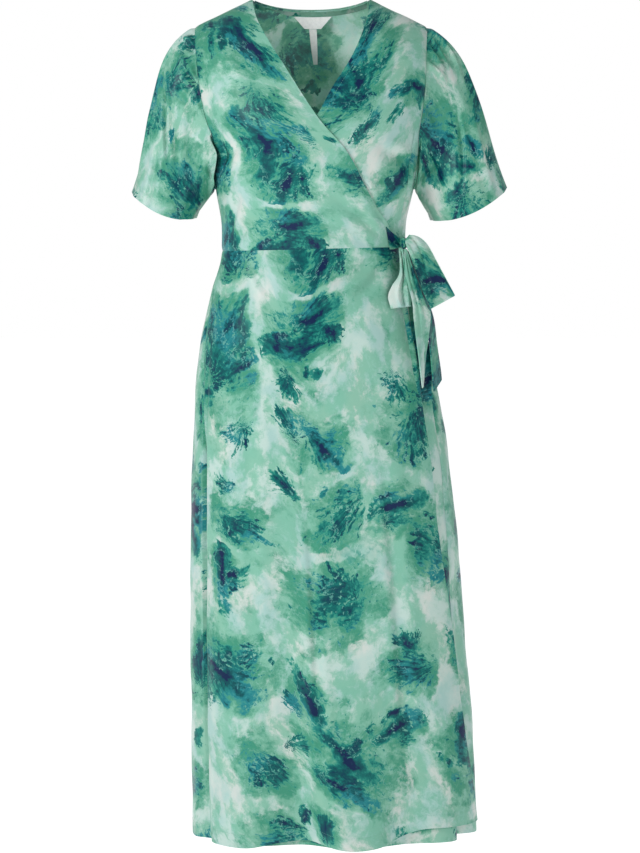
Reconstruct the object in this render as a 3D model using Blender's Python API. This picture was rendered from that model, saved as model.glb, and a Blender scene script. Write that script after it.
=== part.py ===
"""Wrap dress with short set-in sleeves and a side bow, in its worn, hollow form.

Metres, +Z up, -Y to the front, +X to the wearer's left. The origin lies midway between
the two neck points, on the line of the shoulder seams. Every panel is a wall of cloth
worked out from one table of level sections, a table of folds and the lines of its cut.
"""

import math
from collections import namedtuple

import bpy
from mathutils import Vector

# Cloth and seams
CLOTH = 0.0012
SASH_CLOTH = 0.0016
SEAM_GAP = 0.0003
HALF_GAP = SEAM_GAP / 2
ARMHOLE_GAP = 0.0007
SHARP_RIM = math.radians(50)

# Heights below the neck points
SHOULDER_TIP = -0.039
UNDERARM = -0.265
WAIST = -0.350
WAIST_RISE = 0.005
HEM = -1.166

# Neck and shoulders
NECK_HALF_WIDTH = 0.082
SHOULDER_HALF_WIDTH = 0.1625
NECK_RISE = 0.35
SHOULDER_ROUNDING = 0.060
SHOULDER_CROWDING = 1.3
SHOULDER_COLUMNS = 7
BACK_NECK_DROP = 0.011

# How far the overlapping fronts lie apart
OVER_LIFT = 0.0022
UNDER_SINK = 0.0014
LIFT_REACH = 0.35
SINK_REACH = 0.30
LIFT_FADE_START = 0.85
ARMHOLE_LIFT_REACH = 0.25
ARMHOLE_LIFT_RISE = 0.050
CROSSING_REACH = 0.87

# Level sections of the dress, from above the neck points to below the hem
Section = namedtuple("Section", "height centre half_width front back power")
SECTIONS = (
    Section(0.040, 0.0000, 0.1720, 0.040, 0.056, 2.40),
    Section(0.000, 0.0000, 0.1720, 0.052, 0.066, 2.40),
    Section(-0.060, 0.0000, 0.1720, 0.080, 0.090, 2.40),
    Section(-0.125, 0.0020, 0.1680, 0.107, 0.104, 2.40),
    Section(-0.190, 0.0040, 0.1540, 0.123, 0.107, 2.38),
    Section(-0.265, 0.0050, 0.1380, 0.120, 0.100, 2.32),
    Section(-0.310, 0.0042, 0.1288, 0.106, 0.091, 2.26),
    Section(-0.350, 0.0037, 0.1283, 0.095, 0.086, 2.22),
    Section(-0.403, 0.0040, 0.1410, 0.104, 0.098, 2.22),
    Section(-0.468, 0.0047, 0.1573, 0.112, 0.112, 2.24),
    Section(-0.535, 0.0070, 0.1680, 0.116, 0.121, 2.26),
    Section(-0.620, 0.0124, 0.1776, 0.118, 0.126, 2.28),
    Section(-0.755, 0.0190, 0.1870, 0.120, 0.128, 2.28),
    Section(-0.906, 0.0250, 0.1935, 0.125, 0.130, 2.28),
    Section(-1.025, 0.0300, 0.1980, 0.131, 0.134, 2.28),
    Section(-1.180, 0.0340, 0.2005, 0.138, 0.140, 2.28),
)

# Half distance between the armhole seams, seen from the front
Armhole = namedtuple("Armhole", "height reach")
ARMHOLE = (
    Armhole(-0.265, 0.1380),
    Armhole(-0.235, 0.1405),
    Armhole(-0.200, 0.1445),
    Armhole(-0.165, 0.1508),
    Armhole(-0.127, 0.1568),
    Armhole(-0.084, 0.1600),
    Armhole(-0.039, 0.1625),
)

# Crossing neck edges, from the neck point to the waist seam
NeckEdge = namedtuple("NeckEdge", "height x")
OVER_EDGE = (
    NeckEdge(0.0000, -0.0820),
    NeckEdge(-0.0360, -0.0720),
    NeckEdge(-0.0955, -0.0371),
    NeckEdge(-0.1686, 0.0096),
    NeckEdge(-0.2137, 0.0480),
    NeckEdge(-0.2637, 0.0755),
    NeckEdge(-0.2937, 0.0920),
    NeckEdge(-0.3165, 0.1060),
    NeckEdge(-0.3500, 0.1120),
)
UNDER_EDGE = (
    NeckEdge(0.0000, 0.0820),
    NeckEdge(-0.0310, 0.0770),
    NeckEdge(-0.0805, 0.0575),
    NeckEdge(-0.1275, 0.0288),
    NeckEdge(-0.1686, 0.0060),
    NeckEdge(-0.2200, -0.0340),
    NeckEdge(-0.2700, -0.0690),
    NeckEdge(-0.3165, -0.0970),
    NeckEdge(-0.3500, -0.1080),
)

# Where the skirt's seams and free edges lie across it: 1 is its right outline, -1 its left
SkirtLine = namedtuple("SkirtLine", "height left_seam right_seam over_edge under_edge")
SKIRT_LINES = (
    SkirtLine(-0.345, -1.000, 1.000, 0.915, -0.820),
    SkirtLine(-0.403, -0.992, 0.985, 0.880, -0.800),
    SkirtLine(-0.468, -0.965, 0.960, 0.855, -0.780),
    SkirtLine(-0.535, -0.930, 0.943, 0.845, -0.760),
    SkirtLine(-0.620, -0.905, 0.932, 0.842, -0.750),
    SkirtLine(-0.755, -0.900, 0.920, 0.846, -0.750),
    SkirtLine(-0.870, -0.900, 0.930, 0.884, -0.750),
    SkirtLine(-1.025, -0.900, 0.945, 0.925, -0.750),
    SkirtLine(-1.090, -0.900, 0.950, 0.968, -0.750),
    SkirtLine(-1.170, -0.900, 0.955, 0.998, -0.750),
)

# Folds of the skirt: angles in degrees (0 right, 90 front, 180 left, 270 back),
# depth at the hem outwards, spread towards larger and smaller angles. A fold whose outer
# is False bends the under and back panels alone
FOLD_GROWTH = 1.3
Fold = namedtuple("Fold", "start angle_top angle_hem spread_up spread_down depth outer")
FOLDS = (
    Fold(-0.56, 130, 127, 24, 20, 0.013, True),
    Fold(-0.74, 108, 105, 16, 10, -0.020, True),
    Fold(-0.82, 100, 87, 7, 24, 0.018, True),
    Fold(-0.78, 56, 59, 16, 15, -0.015, True),
    Fold(-0.72, 16, 15, 13, 11, -0.036, False),
    Fold(-0.45, 154, 155, 8, 8, -0.012, True),
    Fold(-0.60, 200, 204, 15, 16, 0.012, True),
    Fold(-0.70, 228, 232, 15, 15, -0.017, True),
    Fold(-0.62, 258, 261, 16, 17, 0.014, True),
    Fold(-0.72, 287, 290, 14, 15, -0.016, True),
    Fold(-0.60, 318, 320, 16, 16, 0.012, True),
)

# How much the over front's hem lies above the level hem
HemRise = namedtuple("HemRise", "angle rise")
OVER_HEM = (
    HemRise(0, 0.0200),
    HemRise(40, 0.0205),
    HemRise(50, 0.0190),
    HemRise(62, 0.0105),
    HemRise(72, 0.0000),
    HemRise(84, -0.0035),
    HemRise(92, 0.0015),
    HemRise(100, 0.0070),
    HemRise(112, 0.0045),
    HemRise(127, -0.0030),
    HemRise(150, 0.0000),
)

# A point of the armhole seam, its direction away from the bodice, its normal and its turn
SeamPoint = namedtuple("SeamPoint", "place out normal turn")
RING_STEP = 0.02
RING_INSET = 0.004

# Cuffs: the outer and inner end of each, its half depth, how far it bows down and leans
Cuff = namedtuple("Cuff", "outer_x outer_z inner_x inner_z half_depth bow lean")
CUFF_RIGHT = Cuff(-0.2506, -0.268, -0.1600, -0.304, 0.066, 0.011, 0.004)
CUFF_LEFT = Cuff(0.2740, -0.262, 0.1670, -0.307, 0.060, 0.011, 0.004)
CAP_PULL = 0.68
CUFF_PULL = 0.88
CAP_FALL = -0.34
GATHER_DEPTH = 0.0022
GATHER_LENGTH = 0.34
GATHERS = (-0.115, -0.060, 0.058, 0.112)
GATHER_SPREAD = 0.022
GATHER_START = 0.08
GATHER_FANNING = 0.8

# Inside of the back neck
BINDING_SHARES = (0.82, 0.42, 0.04)
BINDING_CLOTH = 0.0010
BINDING_EASE = 0.0009
LABEL_CLOTH = 0.0010
LABEL_TOP_WIDTH = 0.053
LABEL_FOOT_WIDTH = 0.023
LABEL_HEIGHT = 0.0165
LABEL_CENTRE = 0.0025
LABEL_DROP = 0.0008
LABEL_ROWS = 4
LABEL_COLUMNS = 9
STRIP_LENGTH = 0.050
STRIP_TOP_WIDTH = 0.0106
STRIP_FOOT_WIDTH = 0.0080
STRIP_TWIST = math.radians(50)
STRIP_DRIFT = 0.0035
STRIP_SWING = 0.004
STRIP_ROWS = 9

# Knot of the bow
KNOT_CENTRE = Vector((0.1290, -0.0640, -0.3385))
KNOT_RADII = Vector((0.0100, 0.0085, 0.0125))
KNOT_SIDES = 14
KNOT_RINGS = 8
KNOT_WAIST = 0.16
KNOT_WAIST_SPREAD = 0.3

# Sash pieces: the two edges of the band, station by station from the knot
STUB_COLUMNS = 4
StubLine = namedtuple("StubLine", "low_x low_z high_x high_z outward")
Station = namedtuple("Station", "left_x left_y left_z right_x right_y right_z")
STUB = (
    StubLine(0.1065, -0.3480, 0.1010, -0.3170, 0.0048),
    StubLine(0.1115, -0.3475, 0.1070, -0.3235, 0.0052),
    StubLine(0.1168, -0.3445, 0.1159, -0.3325, 0.0080),
)
TAIL_FRONT = (
    Station(0.1222, -0.0688, -0.3502, 0.1325, -0.0670, -0.3497),
    Station(0.1245, -0.0900, -0.3690, 0.1390, -0.0850, -0.3640),
    Station(0.1310, -0.1040, -0.3970, 0.1500, -0.0935, -0.3930),
    Station(0.1375, -0.1080, -0.4230, 0.1590, -0.0920, -0.4220),
    Station(0.1415, -0.1080, -0.4430, 0.1635, -0.0880, -0.4400),
    Station(0.1450, -0.1090, -0.4700, 0.1625, -0.0850, -0.4720),
    Station(0.1485, -0.1110, -0.4980, 0.1590, -0.0840, -0.5030),
    Station(0.1512, -0.1120, -0.5250, 0.1568, -0.0830, -0.5300),
    Station(0.1530, -0.1120, -0.5400, 0.1556, -0.0830, -0.5390),
)
TAIL_SIDE = (
    Station(0.1250, -0.0620, -0.3514, 0.1345, -0.0600, -0.3504),
    Station(0.1360, -0.0660, -0.3860, 0.1470, -0.0420, -0.3800),
    Station(0.1480, -0.0670, -0.4190, 0.1610, -0.0380, -0.4160),
    Station(0.1585, -0.0680, -0.4460, 0.1705, -0.0370, -0.4430),
    Station(0.1640, -0.0680, -0.4750, 0.1755, -0.0360, -0.4800),
    Station(0.1675, -0.0690, -0.5120, 0.1805, -0.0370, -0.5140),
    Station(0.1705, -0.0700, -0.5440, 0.1820, -0.0380, -0.5290),
)
LOOP_RIGHT = (
    Station(0.1391, -0.0700, -0.3440, 0.1386, -0.0640, -0.3320),
    Station(0.1410, -0.0780, -0.3560, 0.1490, -0.0660, -0.3290),
    Station(0.1450, -0.0820, -0.3700, 0.1600, -0.0670, -0.3380),
    Station(0.1510, -0.0800, -0.3900, 0.1715, -0.0630, -0.3620),
    Station(0.1585, -0.0760, -0.4110, 0.1840, -0.0580, -0.3870),
    Station(0.1655, -0.0720, -0.4290, 0.1965, -0.0550, -0.4095),
)
LOOP_LEFT = (
    Station(0.1140, -0.0735, -0.3466, 0.1213, -0.0722, -0.3463),
    Station(0.1130, -0.0820, -0.3700, 0.1235, -0.0840, -0.3720),
    Station(0.1125, -0.0880, -0.3870, 0.1330, -0.0905, -0.3880),
    Station(0.1080, -0.0920, -0.4020, 0.1390, -0.0920, -0.4030),
    Station(0.1090, -0.0930, -0.4170, 0.1420, -0.0910, -0.4160),
    Station(0.1115, -0.0920, -0.4270, 0.1440, -0.0890, -0.4220),
)
LOOP_ROUNDING = 0.0030
LOOP_FOLD_ROWS = 3
LOOP_BACK_CROWN = 0.3
SASH_CROWN = 0.0016
SHOULDER_OF_CROWN = 0.75

# How finely each wall is divided
BACK_COLUMNS = 28
FRONT_COLUMNS = 18
BODICE_ROWS = 15
SLEEVE_COLUMNS = 28
SLEEVE_ROWS = 10
SKIRT_BACK_COLUMNS = 34
SKIRT_OVER_COLUMNS = 30
SKIRT_UNDER_COLUMNS = 26
SKIRT_ROWS = 14
LOOP_ROWS = 8
TAIL_ROWS = 14

# Colours, linear: the print's middle greens, and the white of the label
MINT = (0.33, 0.58, 0.48, 1.0)
JADE = (0.20, 0.47, 0.36, 1.0)
TEAL = (0.06, 0.28, 0.24, 1.0)
SHADE = (0.16, 0.36, 0.28, 1.0)
LABEL_WHITE = (0.83, 0.83, 0.80, 1.0)
SATIN_ROUGHNESS = 0.48
LABEL_ROUGHNESS = 0.7


def clear_scene():
    """Remove every object of the scene."""
    for item in list(bpy.data.objects):
        bpy.data.objects.remove(item, do_unlink=True)


def mix(start, end, share):
    """Return the value a share of the way from start to end."""
    return start + (end - start) * share


def ease(share):
    """Return a soft step from 0 to 1 as share goes from 0 to 1."""
    share = min(max(share, 0.0), 1.0)
    return share * share * (3.0 - 2.0 * share)


def read_table(rows, key, column, at):
    """Return a table's column at any value of its key, on a smooth curve through its rows."""
    keys = [getattr(row, key) for row in rows]
    values = [getattr(row, column) for row in rows]
    if keys[0] > keys[-1]:
        keys.reverse()
        values.reverse()
    at = min(max(at, keys[0]), keys[-1])
    last = len(keys) - 1
    span = next(i for i in range(last) if at <= keys[i + 1])

    def slope(i):
        low = max(i - 1, 0)
        high = min(i + 1, last)
        if 0 < i < last and (values[high] - values[i]) * (values[i] - values[low]) <= 0:
            return 0.0
        return (values[high] - values[low]) / (keys[high] - keys[low])

    width = keys[span + 1] - keys[span]
    t = (at - keys[span]) / width
    value = (2 * t ** 3 - 3 * t ** 2 + 1) * values[span]
    value += (t ** 3 - 2 * t ** 2 + t) * width * slope(span)
    value += (3 * t ** 2 - 2 * t ** 3) * values[span + 1]
    value += (t ** 3 - t ** 2) * width * slope(span + 1)
    return value


def section_at(height):
    """Return the level section at a height."""
    columns = Section._fields[1:]
    return Section(height, *(read_table(SECTIONS, "height", name, height) for name in columns))


def shoulder_line(x):
    """Return the height of the shoulder's top over x."""
    beyond = abs(x) - NECK_HALF_WIDTH
    if beyond < 0:
        return -NECK_RISE * beyond
    return SHOULDER_TIP * beyond / (SHOULDER_HALF_WIDTH - NECK_HALF_WIDTH)


def fold_depth(angle, height, under):
    """Return how far the skirt's folds push the cloth out at an angle in degrees."""
    total = 0.0
    for fold in FOLDS:
        if height > fold.start or (under is False and fold.outer is False):
            continue
        growth = (fold.start - height) / (fold.start - HEM)
        middle = mix(fold.angle_top, fold.angle_hem, growth)
        away = (angle - middle + 180) % 360 - 180
        spread = fold.spread_up if away > 0 else fold.spread_down
        if abs(away) < spread * 2:
            bell = math.cos(math.pi * away / (spread * 4)) ** 4
            total += fold.depth * growth ** FOLD_GROWTH * bell
    return total


def body_point(theta, height, under=True):
    """Return the point of the dress's outer form at an angle and a height."""
    section = section_at(height)
    across = math.cos(theta)
    x = section.centre + section.half_width * across
    reach = (1.0 - min(abs(across), 1.0) ** section.power) ** (1.0 / section.power)
    in_front = math.sin(theta) >= 0
    y = -section.front * reach if in_front else section.back * reach
    rounding = min(max((shoulder_line(x) - height) / SHOULDER_ROUNDING, 0.0), 1.0)
    y *= math.sqrt(1.0 - (1.0 - rounding) ** 2)
    point = Vector((x, y, height))
    if height < WAIST:
        out = Vector((across / section.half_width, -math.sin(theta) / section.front, 0.0))
        point += out.normalized() * fold_depth(math.degrees(theta) % 360, height, under)
    return point


def angle_of(x, height):
    """Return the angle in front at which the form crosses x."""
    section = section_at(height)
    across = (x - section.centre) / section.half_width
    return math.acos(min(max(across, -1.0), 1.0))


def grid_normals(grid, closed=False):
    """Return the normals of a grid of points, on the side its rows and columns turn to."""
    rows = len(grid)
    columns = len(grid[0])
    normals = []
    for r in range(rows):
        line = []
        for c in range(columns):
            if closed:
                along = grid[r][(c + 1) % columns] - grid[r][c - 1]
            else:
                along = grid[r][min(c + 1, columns - 1)] - grid[r][max(c - 1, 0)]
            up = grid[min(r + 1, rows - 1)][c] - grid[max(r - 1, 0)][c]
            line.append(along.cross(up).normalized())
        normals.append(line)
    return normals


def add_faces(faces, columns, corner, rows, closed, outward):
    """Add the quads of one side of a wall."""
    for r in range(rows - 1):
        for c in range(columns if closed else columns - 1):
            d = (c + 1) % columns
            quad = (corner(r, c), corner(r, d), corner(r + 1, d), corner(r + 1, c))
            faces.append(quad if outward else quad[::-1])


def wall(name, grid, normals, thickness, material, closed=False):
    """Make a wall of cloth: the grid is its outer side, the thickness goes inwards."""
    rows = len(grid)
    columns = len(grid[0])
    count = rows * columns
    points = [p for line in grid for p in line]
    points += [p - n * thickness for line, ns in zip(grid, normals) for p, n in zip(line, ns)]

    def outer(r, c):
        return r * columns + c

    def inner(r, c):
        return count + r * columns + c

    faces = []
    add_faces(faces, columns, outer, rows, closed, True)
    add_faces(faces, columns, inner, rows, closed, False)
    for c in range(columns if closed else columns - 1):
        d = (c + 1) % columns
        faces.append((outer(0, d), outer(0, c), inner(0, c), inner(0, d)))
        faces.append((outer(rows - 1, c), outer(rows - 1, d), inner(rows - 1, d), inner(rows - 1, c)))
    if not closed:
        for r in range(rows - 1):
            faces.append((outer(r, 0), outer(r + 1, 0), inner(r + 1, 0), inner(r, 0)))
            last = columns - 1
            faces.append((outer(r + 1, last), outer(r, last), inner(r, last), inner(r + 1, last)))
    return add_object(name, points, faces, material)


def add_object(name, points, faces, material):
    """Make a smooth-shaded object with sharp rims from points and faces."""
    mesh = bpy.data.meshes.new(name)
    mesh.from_pydata([tuple(p) for p in points], [], faces)
    mesh.shade_smooth()
    mesh.set_sharp_from_angle(angle=SHARP_RIM)
    mesh.materials.append(material)
    item = bpy.data.objects.new(name, mesh)
    bpy.context.collection.objects.link(item)
    return item


def cloth_material(name, colour, roughness=SATIN_ROUGHNESS):
    """Return a plain cloth material."""
    material = bpy.data.materials.new(name)
    material.use_nodes = True
    shader = material.node_tree.nodes["Principled BSDF"]
    shader.inputs["Base Color"].default_value = colour
    shader.inputs["Roughness"].default_value = roughness
    shader.inputs["Metallic"].default_value = 0.0
    return material


def waist_at(across):
    """Return the waist seam's height across the dress."""
    return WAIST + WAIST_RISE * ease((across + 1.0) / 2.0)


def over_lift(across):
    """Return how far the over front lies outside the dress's form."""
    return OVER_LIFT * ease((across + 1.0) / LIFT_REACH)


def under_sink(across):
    """Return how far the under front lies outside the dress's form: it lies inside it."""
    return -UNDER_SINK * ease((1.0 - across) / SINK_REACH)


def no_lift(across):
    """Return how far the back lies outside the dress's form."""
    return 0.0


def armhole_x(height, side):
    """Return the x of the side seam or of the armhole seam above it."""
    section = section_at(height)
    if height <= UNDERARM:
        return section.centre + side * section.half_width
    return section.centre + side * read_table(ARMHOLE, "height", "reach", height)


def neck_x(edge, height):
    """Return the x of a crossing neck edge."""
    return read_table(edge, "height", "x", height)


def patch(left, right, low, high, u, v):
    """Return a value inside a patch from its four edges' values."""
    value = mix(left(v), right(v), u) + mix(low(u), high(u), v)
    bottom = mix(left(0.0), right(0.0), u)
    top = mix(left(1.0), right(1.0), u)
    return value - mix(bottom, top, v)


def bodice_grid(left, right, low, high, columns, rows):
    """Return a grid of (angle, height) over a bodice panel from its four edges.

    Each edge is a function of 0 to 1 that gives (angle, height).
    """
    grid = []
    for r in range(rows):
        v = 1.0 - (1.0 - r / (rows - 1)) ** SHOULDER_CROWDING
        line = []
        for c in range(columns):
            u = c / (columns - 1)
            pair = []
            for k in (0, 1):
                pair.append(patch(lambda t: left(t)[k], lambda t: right(t)[k],
                                  lambda t: low(t)[k], lambda t: high(t)[k], u, v))
            line.append(tuple(pair))
        grid.append(line)
    return grid


def front_bodice(name, side, edge, shift, columns, rows, material):
    """Make one crossing front: side is -1 for the over front and 1 for the under front."""
    waist_side = waist_at(side)
    waist_edge = waist_at(-side * CROSSING_REACH)

    def seam(v):
        height = mix(waist_side, SHOULDER_TIP, v)
        return angle_of(armhole_x(height, side), height), height

    def free(v):
        height = mix(waist_edge, 0.0, v)
        return angle_of(neck_x(edge, height), height), height

    def shoulder(u):
        x = mix(side * SHOULDER_HALF_WIDTH, side * NECK_HALF_WIDTH, u if side < 0 else 1 - u)
        return angle_of(x, shoulder_line(x)), shoulder_line(x)

    def waist(u):
        start = seam(0.0)[0] if side < 0 else free(0.0)[0]
        end = free(0.0)[0] if side < 0 else seam(0.0)[0]
        angle = mix(start, end, u)
        return angle, waist_at(math.cos(angle))

    left, right = (seam, free) if side < 0 else (free, seam)
    cells = bodice_grid(left, right, waist, shoulder, columns, rows)
    grid = [[body_point(angle, height) for angle, height in line] for line in cells]
    normals = grid_normals(grid)
    flatten_seams(grid, normals, side)
    lifted = []
    for r, line in enumerate(grid):
        fade = 1.0 - ease((r / (rows - 1) - LIFT_FADE_START) / (1.0 - LIFT_FADE_START))
        new_line = []
        for c, point in enumerate(line):
            from_seam = (c if side < 0 else columns - 1 - c) / (columns - 1)
            offset = shift(math.cos(cells[r][c][0])) * fade * armhole_fade(from_seam, point.z)
            moved = point + normals[r][c] * offset
            moved.y -= HALF_GAP
            new_line.append(moved)
        lifted.append(new_line)
    return wall(name, lifted, normals, CLOTH, material)


def armhole_fade(from_seam, height):
    """Return the share of a front's lift that is left near its armhole."""
    near = ease(from_seam / ARMHOLE_LIFT_REACH)
    return mix(1.0, near, ease((height - UNDERARM) / ARMHOLE_LIFT_RISE))


def level_normals(line):
    """Turn a row's normals level, square to the waist seam."""
    for n in line:
        n.z = 0.0
        n.normalize()


def flatten_seams(grid, normals, side):
    """Turn the normals on the shoulder and side seams square to the seam's gap."""
    level_normals(normals[0])
    for n in normals[-1]:
        n.y = 0.0
        n.normalize()
    for line, points in zip(normals, grid):
        for c in ((0, -1) if side == 0 else ((0,) if side < 0 else (-1,))):
            if points[c].z <= UNDERARM:
                line[c].y = 0.0
                line[c].normalize()


def back_bodice(columns, rows, material):
    """Make the back of the bodice, cut in one piece."""
    corner = SHOULDER_COLUMNS / (columns - 1)

    def seam(side):
        def edge(v):
            height = mix(waist_at(side), SHOULDER_TIP, v)
            return math.tau - angle_of(armhole_x(height, side), height), height
        return edge

    def waist(u):
        angle = mix(math.tau, math.pi, u)
        return angle, waist_at(math.cos(angle))

    def top(u):
        if u < corner:
            x = mix(SHOULDER_HALF_WIDTH, NECK_HALF_WIDTH, u / corner)
        elif u > 1 - corner:
            x = mix(-NECK_HALF_WIDTH, -SHOULDER_HALF_WIDTH, (u - 1 + corner) / corner)
        else:
            x = mix(NECK_HALF_WIDTH, -NECK_HALF_WIDTH, (u - corner) / (1 - 2 * corner))
        height = shoulder_line(x) if abs(x) >= NECK_HALF_WIDTH else back_neck(x)
        return math.tau - angle_of(x, height), height

    cells = bodice_grid(seam(1), seam(-1), waist, top, columns, rows)
    grid = [[body_point(angle, height) for angle, height in line] for line in cells]
    normals = grid_normals(grid)
    level_normals(normals[0])
    for r, line in enumerate(normals):
        for c, n in enumerate(line):
            u = c / (columns - 1)
            on_shoulder = r == rows - 1 and (u <= corner or u >= 1 - corner)
            on_side = c in (0, columns - 1) and grid[r][c].z <= UNDERARM
            if on_shoulder or on_side:
                n.y = 0.0
                n.normalize()
    for line in grid:
        for point in line:
            point.y += HALF_GAP
    wall("back_bodice", grid, normals, CLOTH, material)
    inside = slice(SHOULDER_COLUMNS, columns - SHOULDER_COLUMNS)
    return [list(zip(line, ns))[inside] for line, ns in zip(grid, normals)]


def back_neck(x):
    """Return the height of the back neck edge over x."""
    share = min(abs(x) / NECK_HALF_WIDTH, 1.0)
    return -BACK_NECK_DROP * (1.0 - share ** 2.6)


def armhole_ring(side, count):
    """Return the armhole's seam, point by point, from the shoulder by way of the front."""
    middle = (SHOULDER_TIP + UNDERARM) / 2
    half = (SHOULDER_TIP - UNDERARM) / 2

    def at(turn, inset):
        height = middle + half * math.cos(turn)
        x = armhole_x(height, side) - side * inset
        angle = angle_of(x, height)
        if math.sin(turn) < 0:
            angle = math.tau - angle
        return body_point(angle, height)

    ring = []
    for i in range(count):
        turn = math.tau * i / count
        on_seam = i == 0 or 2 * i == count
        place = at(turn, 0.0)
        if not on_seam:
            place.y += HALF_GAP if math.sin(turn) < 0 else -HALF_GAP
        along = at(turn + RING_STEP, 0.0) - at(turn - RING_STEP, 0.0)
        normal = along.cross(at(turn, RING_INSET) - at(turn, 0.0)) * side
        if on_seam:
            normal.y = 0.0
        normal.normalize()
        out = normal.cross(along).normalized()
        if out.x * side < 0:
            out.negate()
        ring.append(SeamPoint(place, out, normal, turn))
    return ring


def cuff_point(cuff, turn):
    """Return a point of a cuff's edge, from the outer end to the front."""
    outer = Vector((cuff.outer_x, 0.0, cuff.outer_z))
    inner = Vector((cuff.inner_x, 0.0, cuff.inner_z))
    point = (outer + inner) / 2 + (outer - inner) / 2 * math.cos(turn)
    point.y = -cuff.half_depth * math.sin(turn)
    point.z -= cuff.bow * math.sin(turn) ** 2 + cuff.lean * math.sin(turn)
    return point


def sleeve_line(seam, cuff, down, side, t):
    """Return a point on the sleeve's line from a seam point to the cuff, a share t along it."""
    fall = Vector((side, 0.0, CAP_FALL)).normalized()
    start = seam.place + seam.out * ARMHOLE_GAP
    end = cuff_point(cuff, seam.turn)
    length = (end - start).length
    lead = (seam.out + fall).normalized() * length * CAP_PULL
    trail = down * length * CUFF_PULL
    place = start * (2 * t ** 3 - 3 * t ** 2 + 1) + lead * (t ** 3 - 2 * t ** 2 + t)
    return place + end * (3 * t ** 2 - 2 * t ** 3) + trail * (t ** 3 - t ** 2)


def sleeve(name, side, cuff, columns, rows, material):
    """Make a set-in sleeve from its armhole to its cuff."""
    ring = armhole_ring(side, columns)
    slope = Vector((cuff.inner_z - cuff.outer_z, 0.0, cuff.outer_x - cuff.inner_x))
    down = slope.normalized() * (-side)
    shares = [r / (rows - 1) for r in range(rows)]
    grid = [[sleeve_line(seam, cuff, down, side, t) for seam in ring] for t in shares]
    normals = grid_normals(grid, closed=True)
    if normals[rows // 2][0].x * side < 0:
        normals = [[-n for n in line] for line in normals]
    for r in range(1, rows):
        for c, seam in enumerate(ring):
            grid[r][c] = grid[r][c] + normals[r][c] * gather(seam.turn, shares[r])
    normals[0] = [seam.normal for seam in ring]
    if side > 0:
        grid = [line[::-1] for line in grid]
        normals = [line[::-1] for line in normals]
    return wall(name, grid[::-1], normals[::-1], CLOTH, material, closed=True)


def gather(turn, t):
    """Return how far the gathers at the sleeve cap push the cloth out."""
    share = (turn / math.tau + 0.5) % 1.0 - 0.5
    total = 0.0
    for place in GATHERS:
        away = (share - place * (1 + GATHER_FANNING * t)) / GATHER_SPREAD
        total += math.exp(-away * away)
    swell = t / GATHER_START if t < GATHER_START else 1.0 - (t - GATHER_START) / GATHER_LENGTH
    return GATHER_DEPTH * total * ease(swell)


def line_angle(column, height):
    """Return the angle of one of the skirt's lines at a height."""
    across = read_table(SKIRT_LINES, "height", column, height)
    return math.acos(min(max(across, -1.0), 1.0))


def skirt_panel(name, start, end, hem, shift, under, columns, rows, material):
    """Make a skirt panel between two lines, given as functions of the height."""
    grid = []
    shifts = []
    for r in range(rows):
        v = r / (rows - 1)
        line = []
        for c in range(columns):
            u = c / (columns - 1)
            low = HEM + hem(math.degrees(mix(start(HEM), end(HEM), u)))
            level = mix(low, WAIST, v)
            angle = mix(start(level), end(level), u)
            top = waist_at(math.cos(angle)) - SEAM_GAP
            line.append(body_point(angle, mix(low, top, v), under))
            shifts.append(shift(math.cos(angle)))
        grid.append(line)
    normals = grid_normals(grid)
    level_normals(normals[-1])
    for r, line in enumerate(grid):
        for c, point in enumerate(line):
            line[c] = point + normals[r][c] * shifts[r * columns + c]
    trim_side(grid, 0)
    trim_side(grid, -1)
    return wall(name, grid, normals, CLOTH, material)


def level_hem(angle):
    """Return how far a plain hem lies above the level hem."""
    return 0.0


def over_hem(angle):
    """Return how far the over front's hem lies above the level hem, at an angle in degrees."""
    return read_table(OVER_HEM, "angle", "rise", angle)


def trim_side(grid, column):
    """Draw a panel's side edge back by half a seam's gap."""
    inner = 1 if column == 0 else -2
    for line in grid:
        inward = (line[inner] - line[column]).normalized()
        line[column] = line[column] + inward * HALF_GAP


def skirt(material_back, material_over, material_under):
    """Make the three panels of the skirt."""
    def left(height):
        return line_angle("left_seam", height)

    def right(height):
        return line_angle("right_seam", height)

    def right_behind(height):
        return math.tau + right(height)

    def over_edge(height):
        return line_angle("over_edge", height)

    def under_edge(height):
        return line_angle("under_edge", height)

    skirt_panel("skirt_back", right_behind, left, level_hem, no_lift, True,
                SKIRT_BACK_COLUMNS, SKIRT_ROWS, material_back)
    skirt_panel("skirt_front_over", left, over_edge, over_hem, over_lift, False,
                SKIRT_OVER_COLUMNS, SKIRT_ROWS, material_over)
    skirt_panel("skirt_front_under", under_edge, right, level_hem, under_sink, True,
                SKIRT_UNDER_COLUMNS, SKIRT_ROWS, material_under)


def inside_back(rows, column, share, inset):
    """Return a point inside the back neck, a share of the way down its top row of faces."""
    (top, top_normal), (low, low_normal) = rows[-1][column], rows[-2][column]
    normal = mix(top_normal, low_normal, share).normalized()
    return mix(top, low, share) - normal * inset


def neck_binding(back_rows, material):
    """Make the binding inside the back neck edge, from the back's own points."""
    columns = range(1, len(back_rows[-1]) - 1)
    inset = CLOTH + BINDING_EASE
    grid = [[inside_back(back_rows, c, share, inset) for c in columns] for share in BINDING_SHARES]
    return wall("neck_binding", grid, grid_normals(grid), BINDING_CLOTH, material)


def hanging_line(back_rows):
    """Return the line inside the back from which the label hangs, right to left."""
    inset = CLOTH + BINDING_EASE + BINDING_CLOTH / 2
    return [inside_back(back_rows, c, BINDING_SHARES[0], inset) for c in range(len(back_rows[-1]))]


def point_over(line, x):
    """Return the point of a line that runs from right to left, over x."""
    for near, far in zip(line, line[1:]):
        if far.x <= x <= near.x:
            return mix(near, far, (near.x - x) / (near.x - far.x))
    return line[-1].copy()


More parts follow.
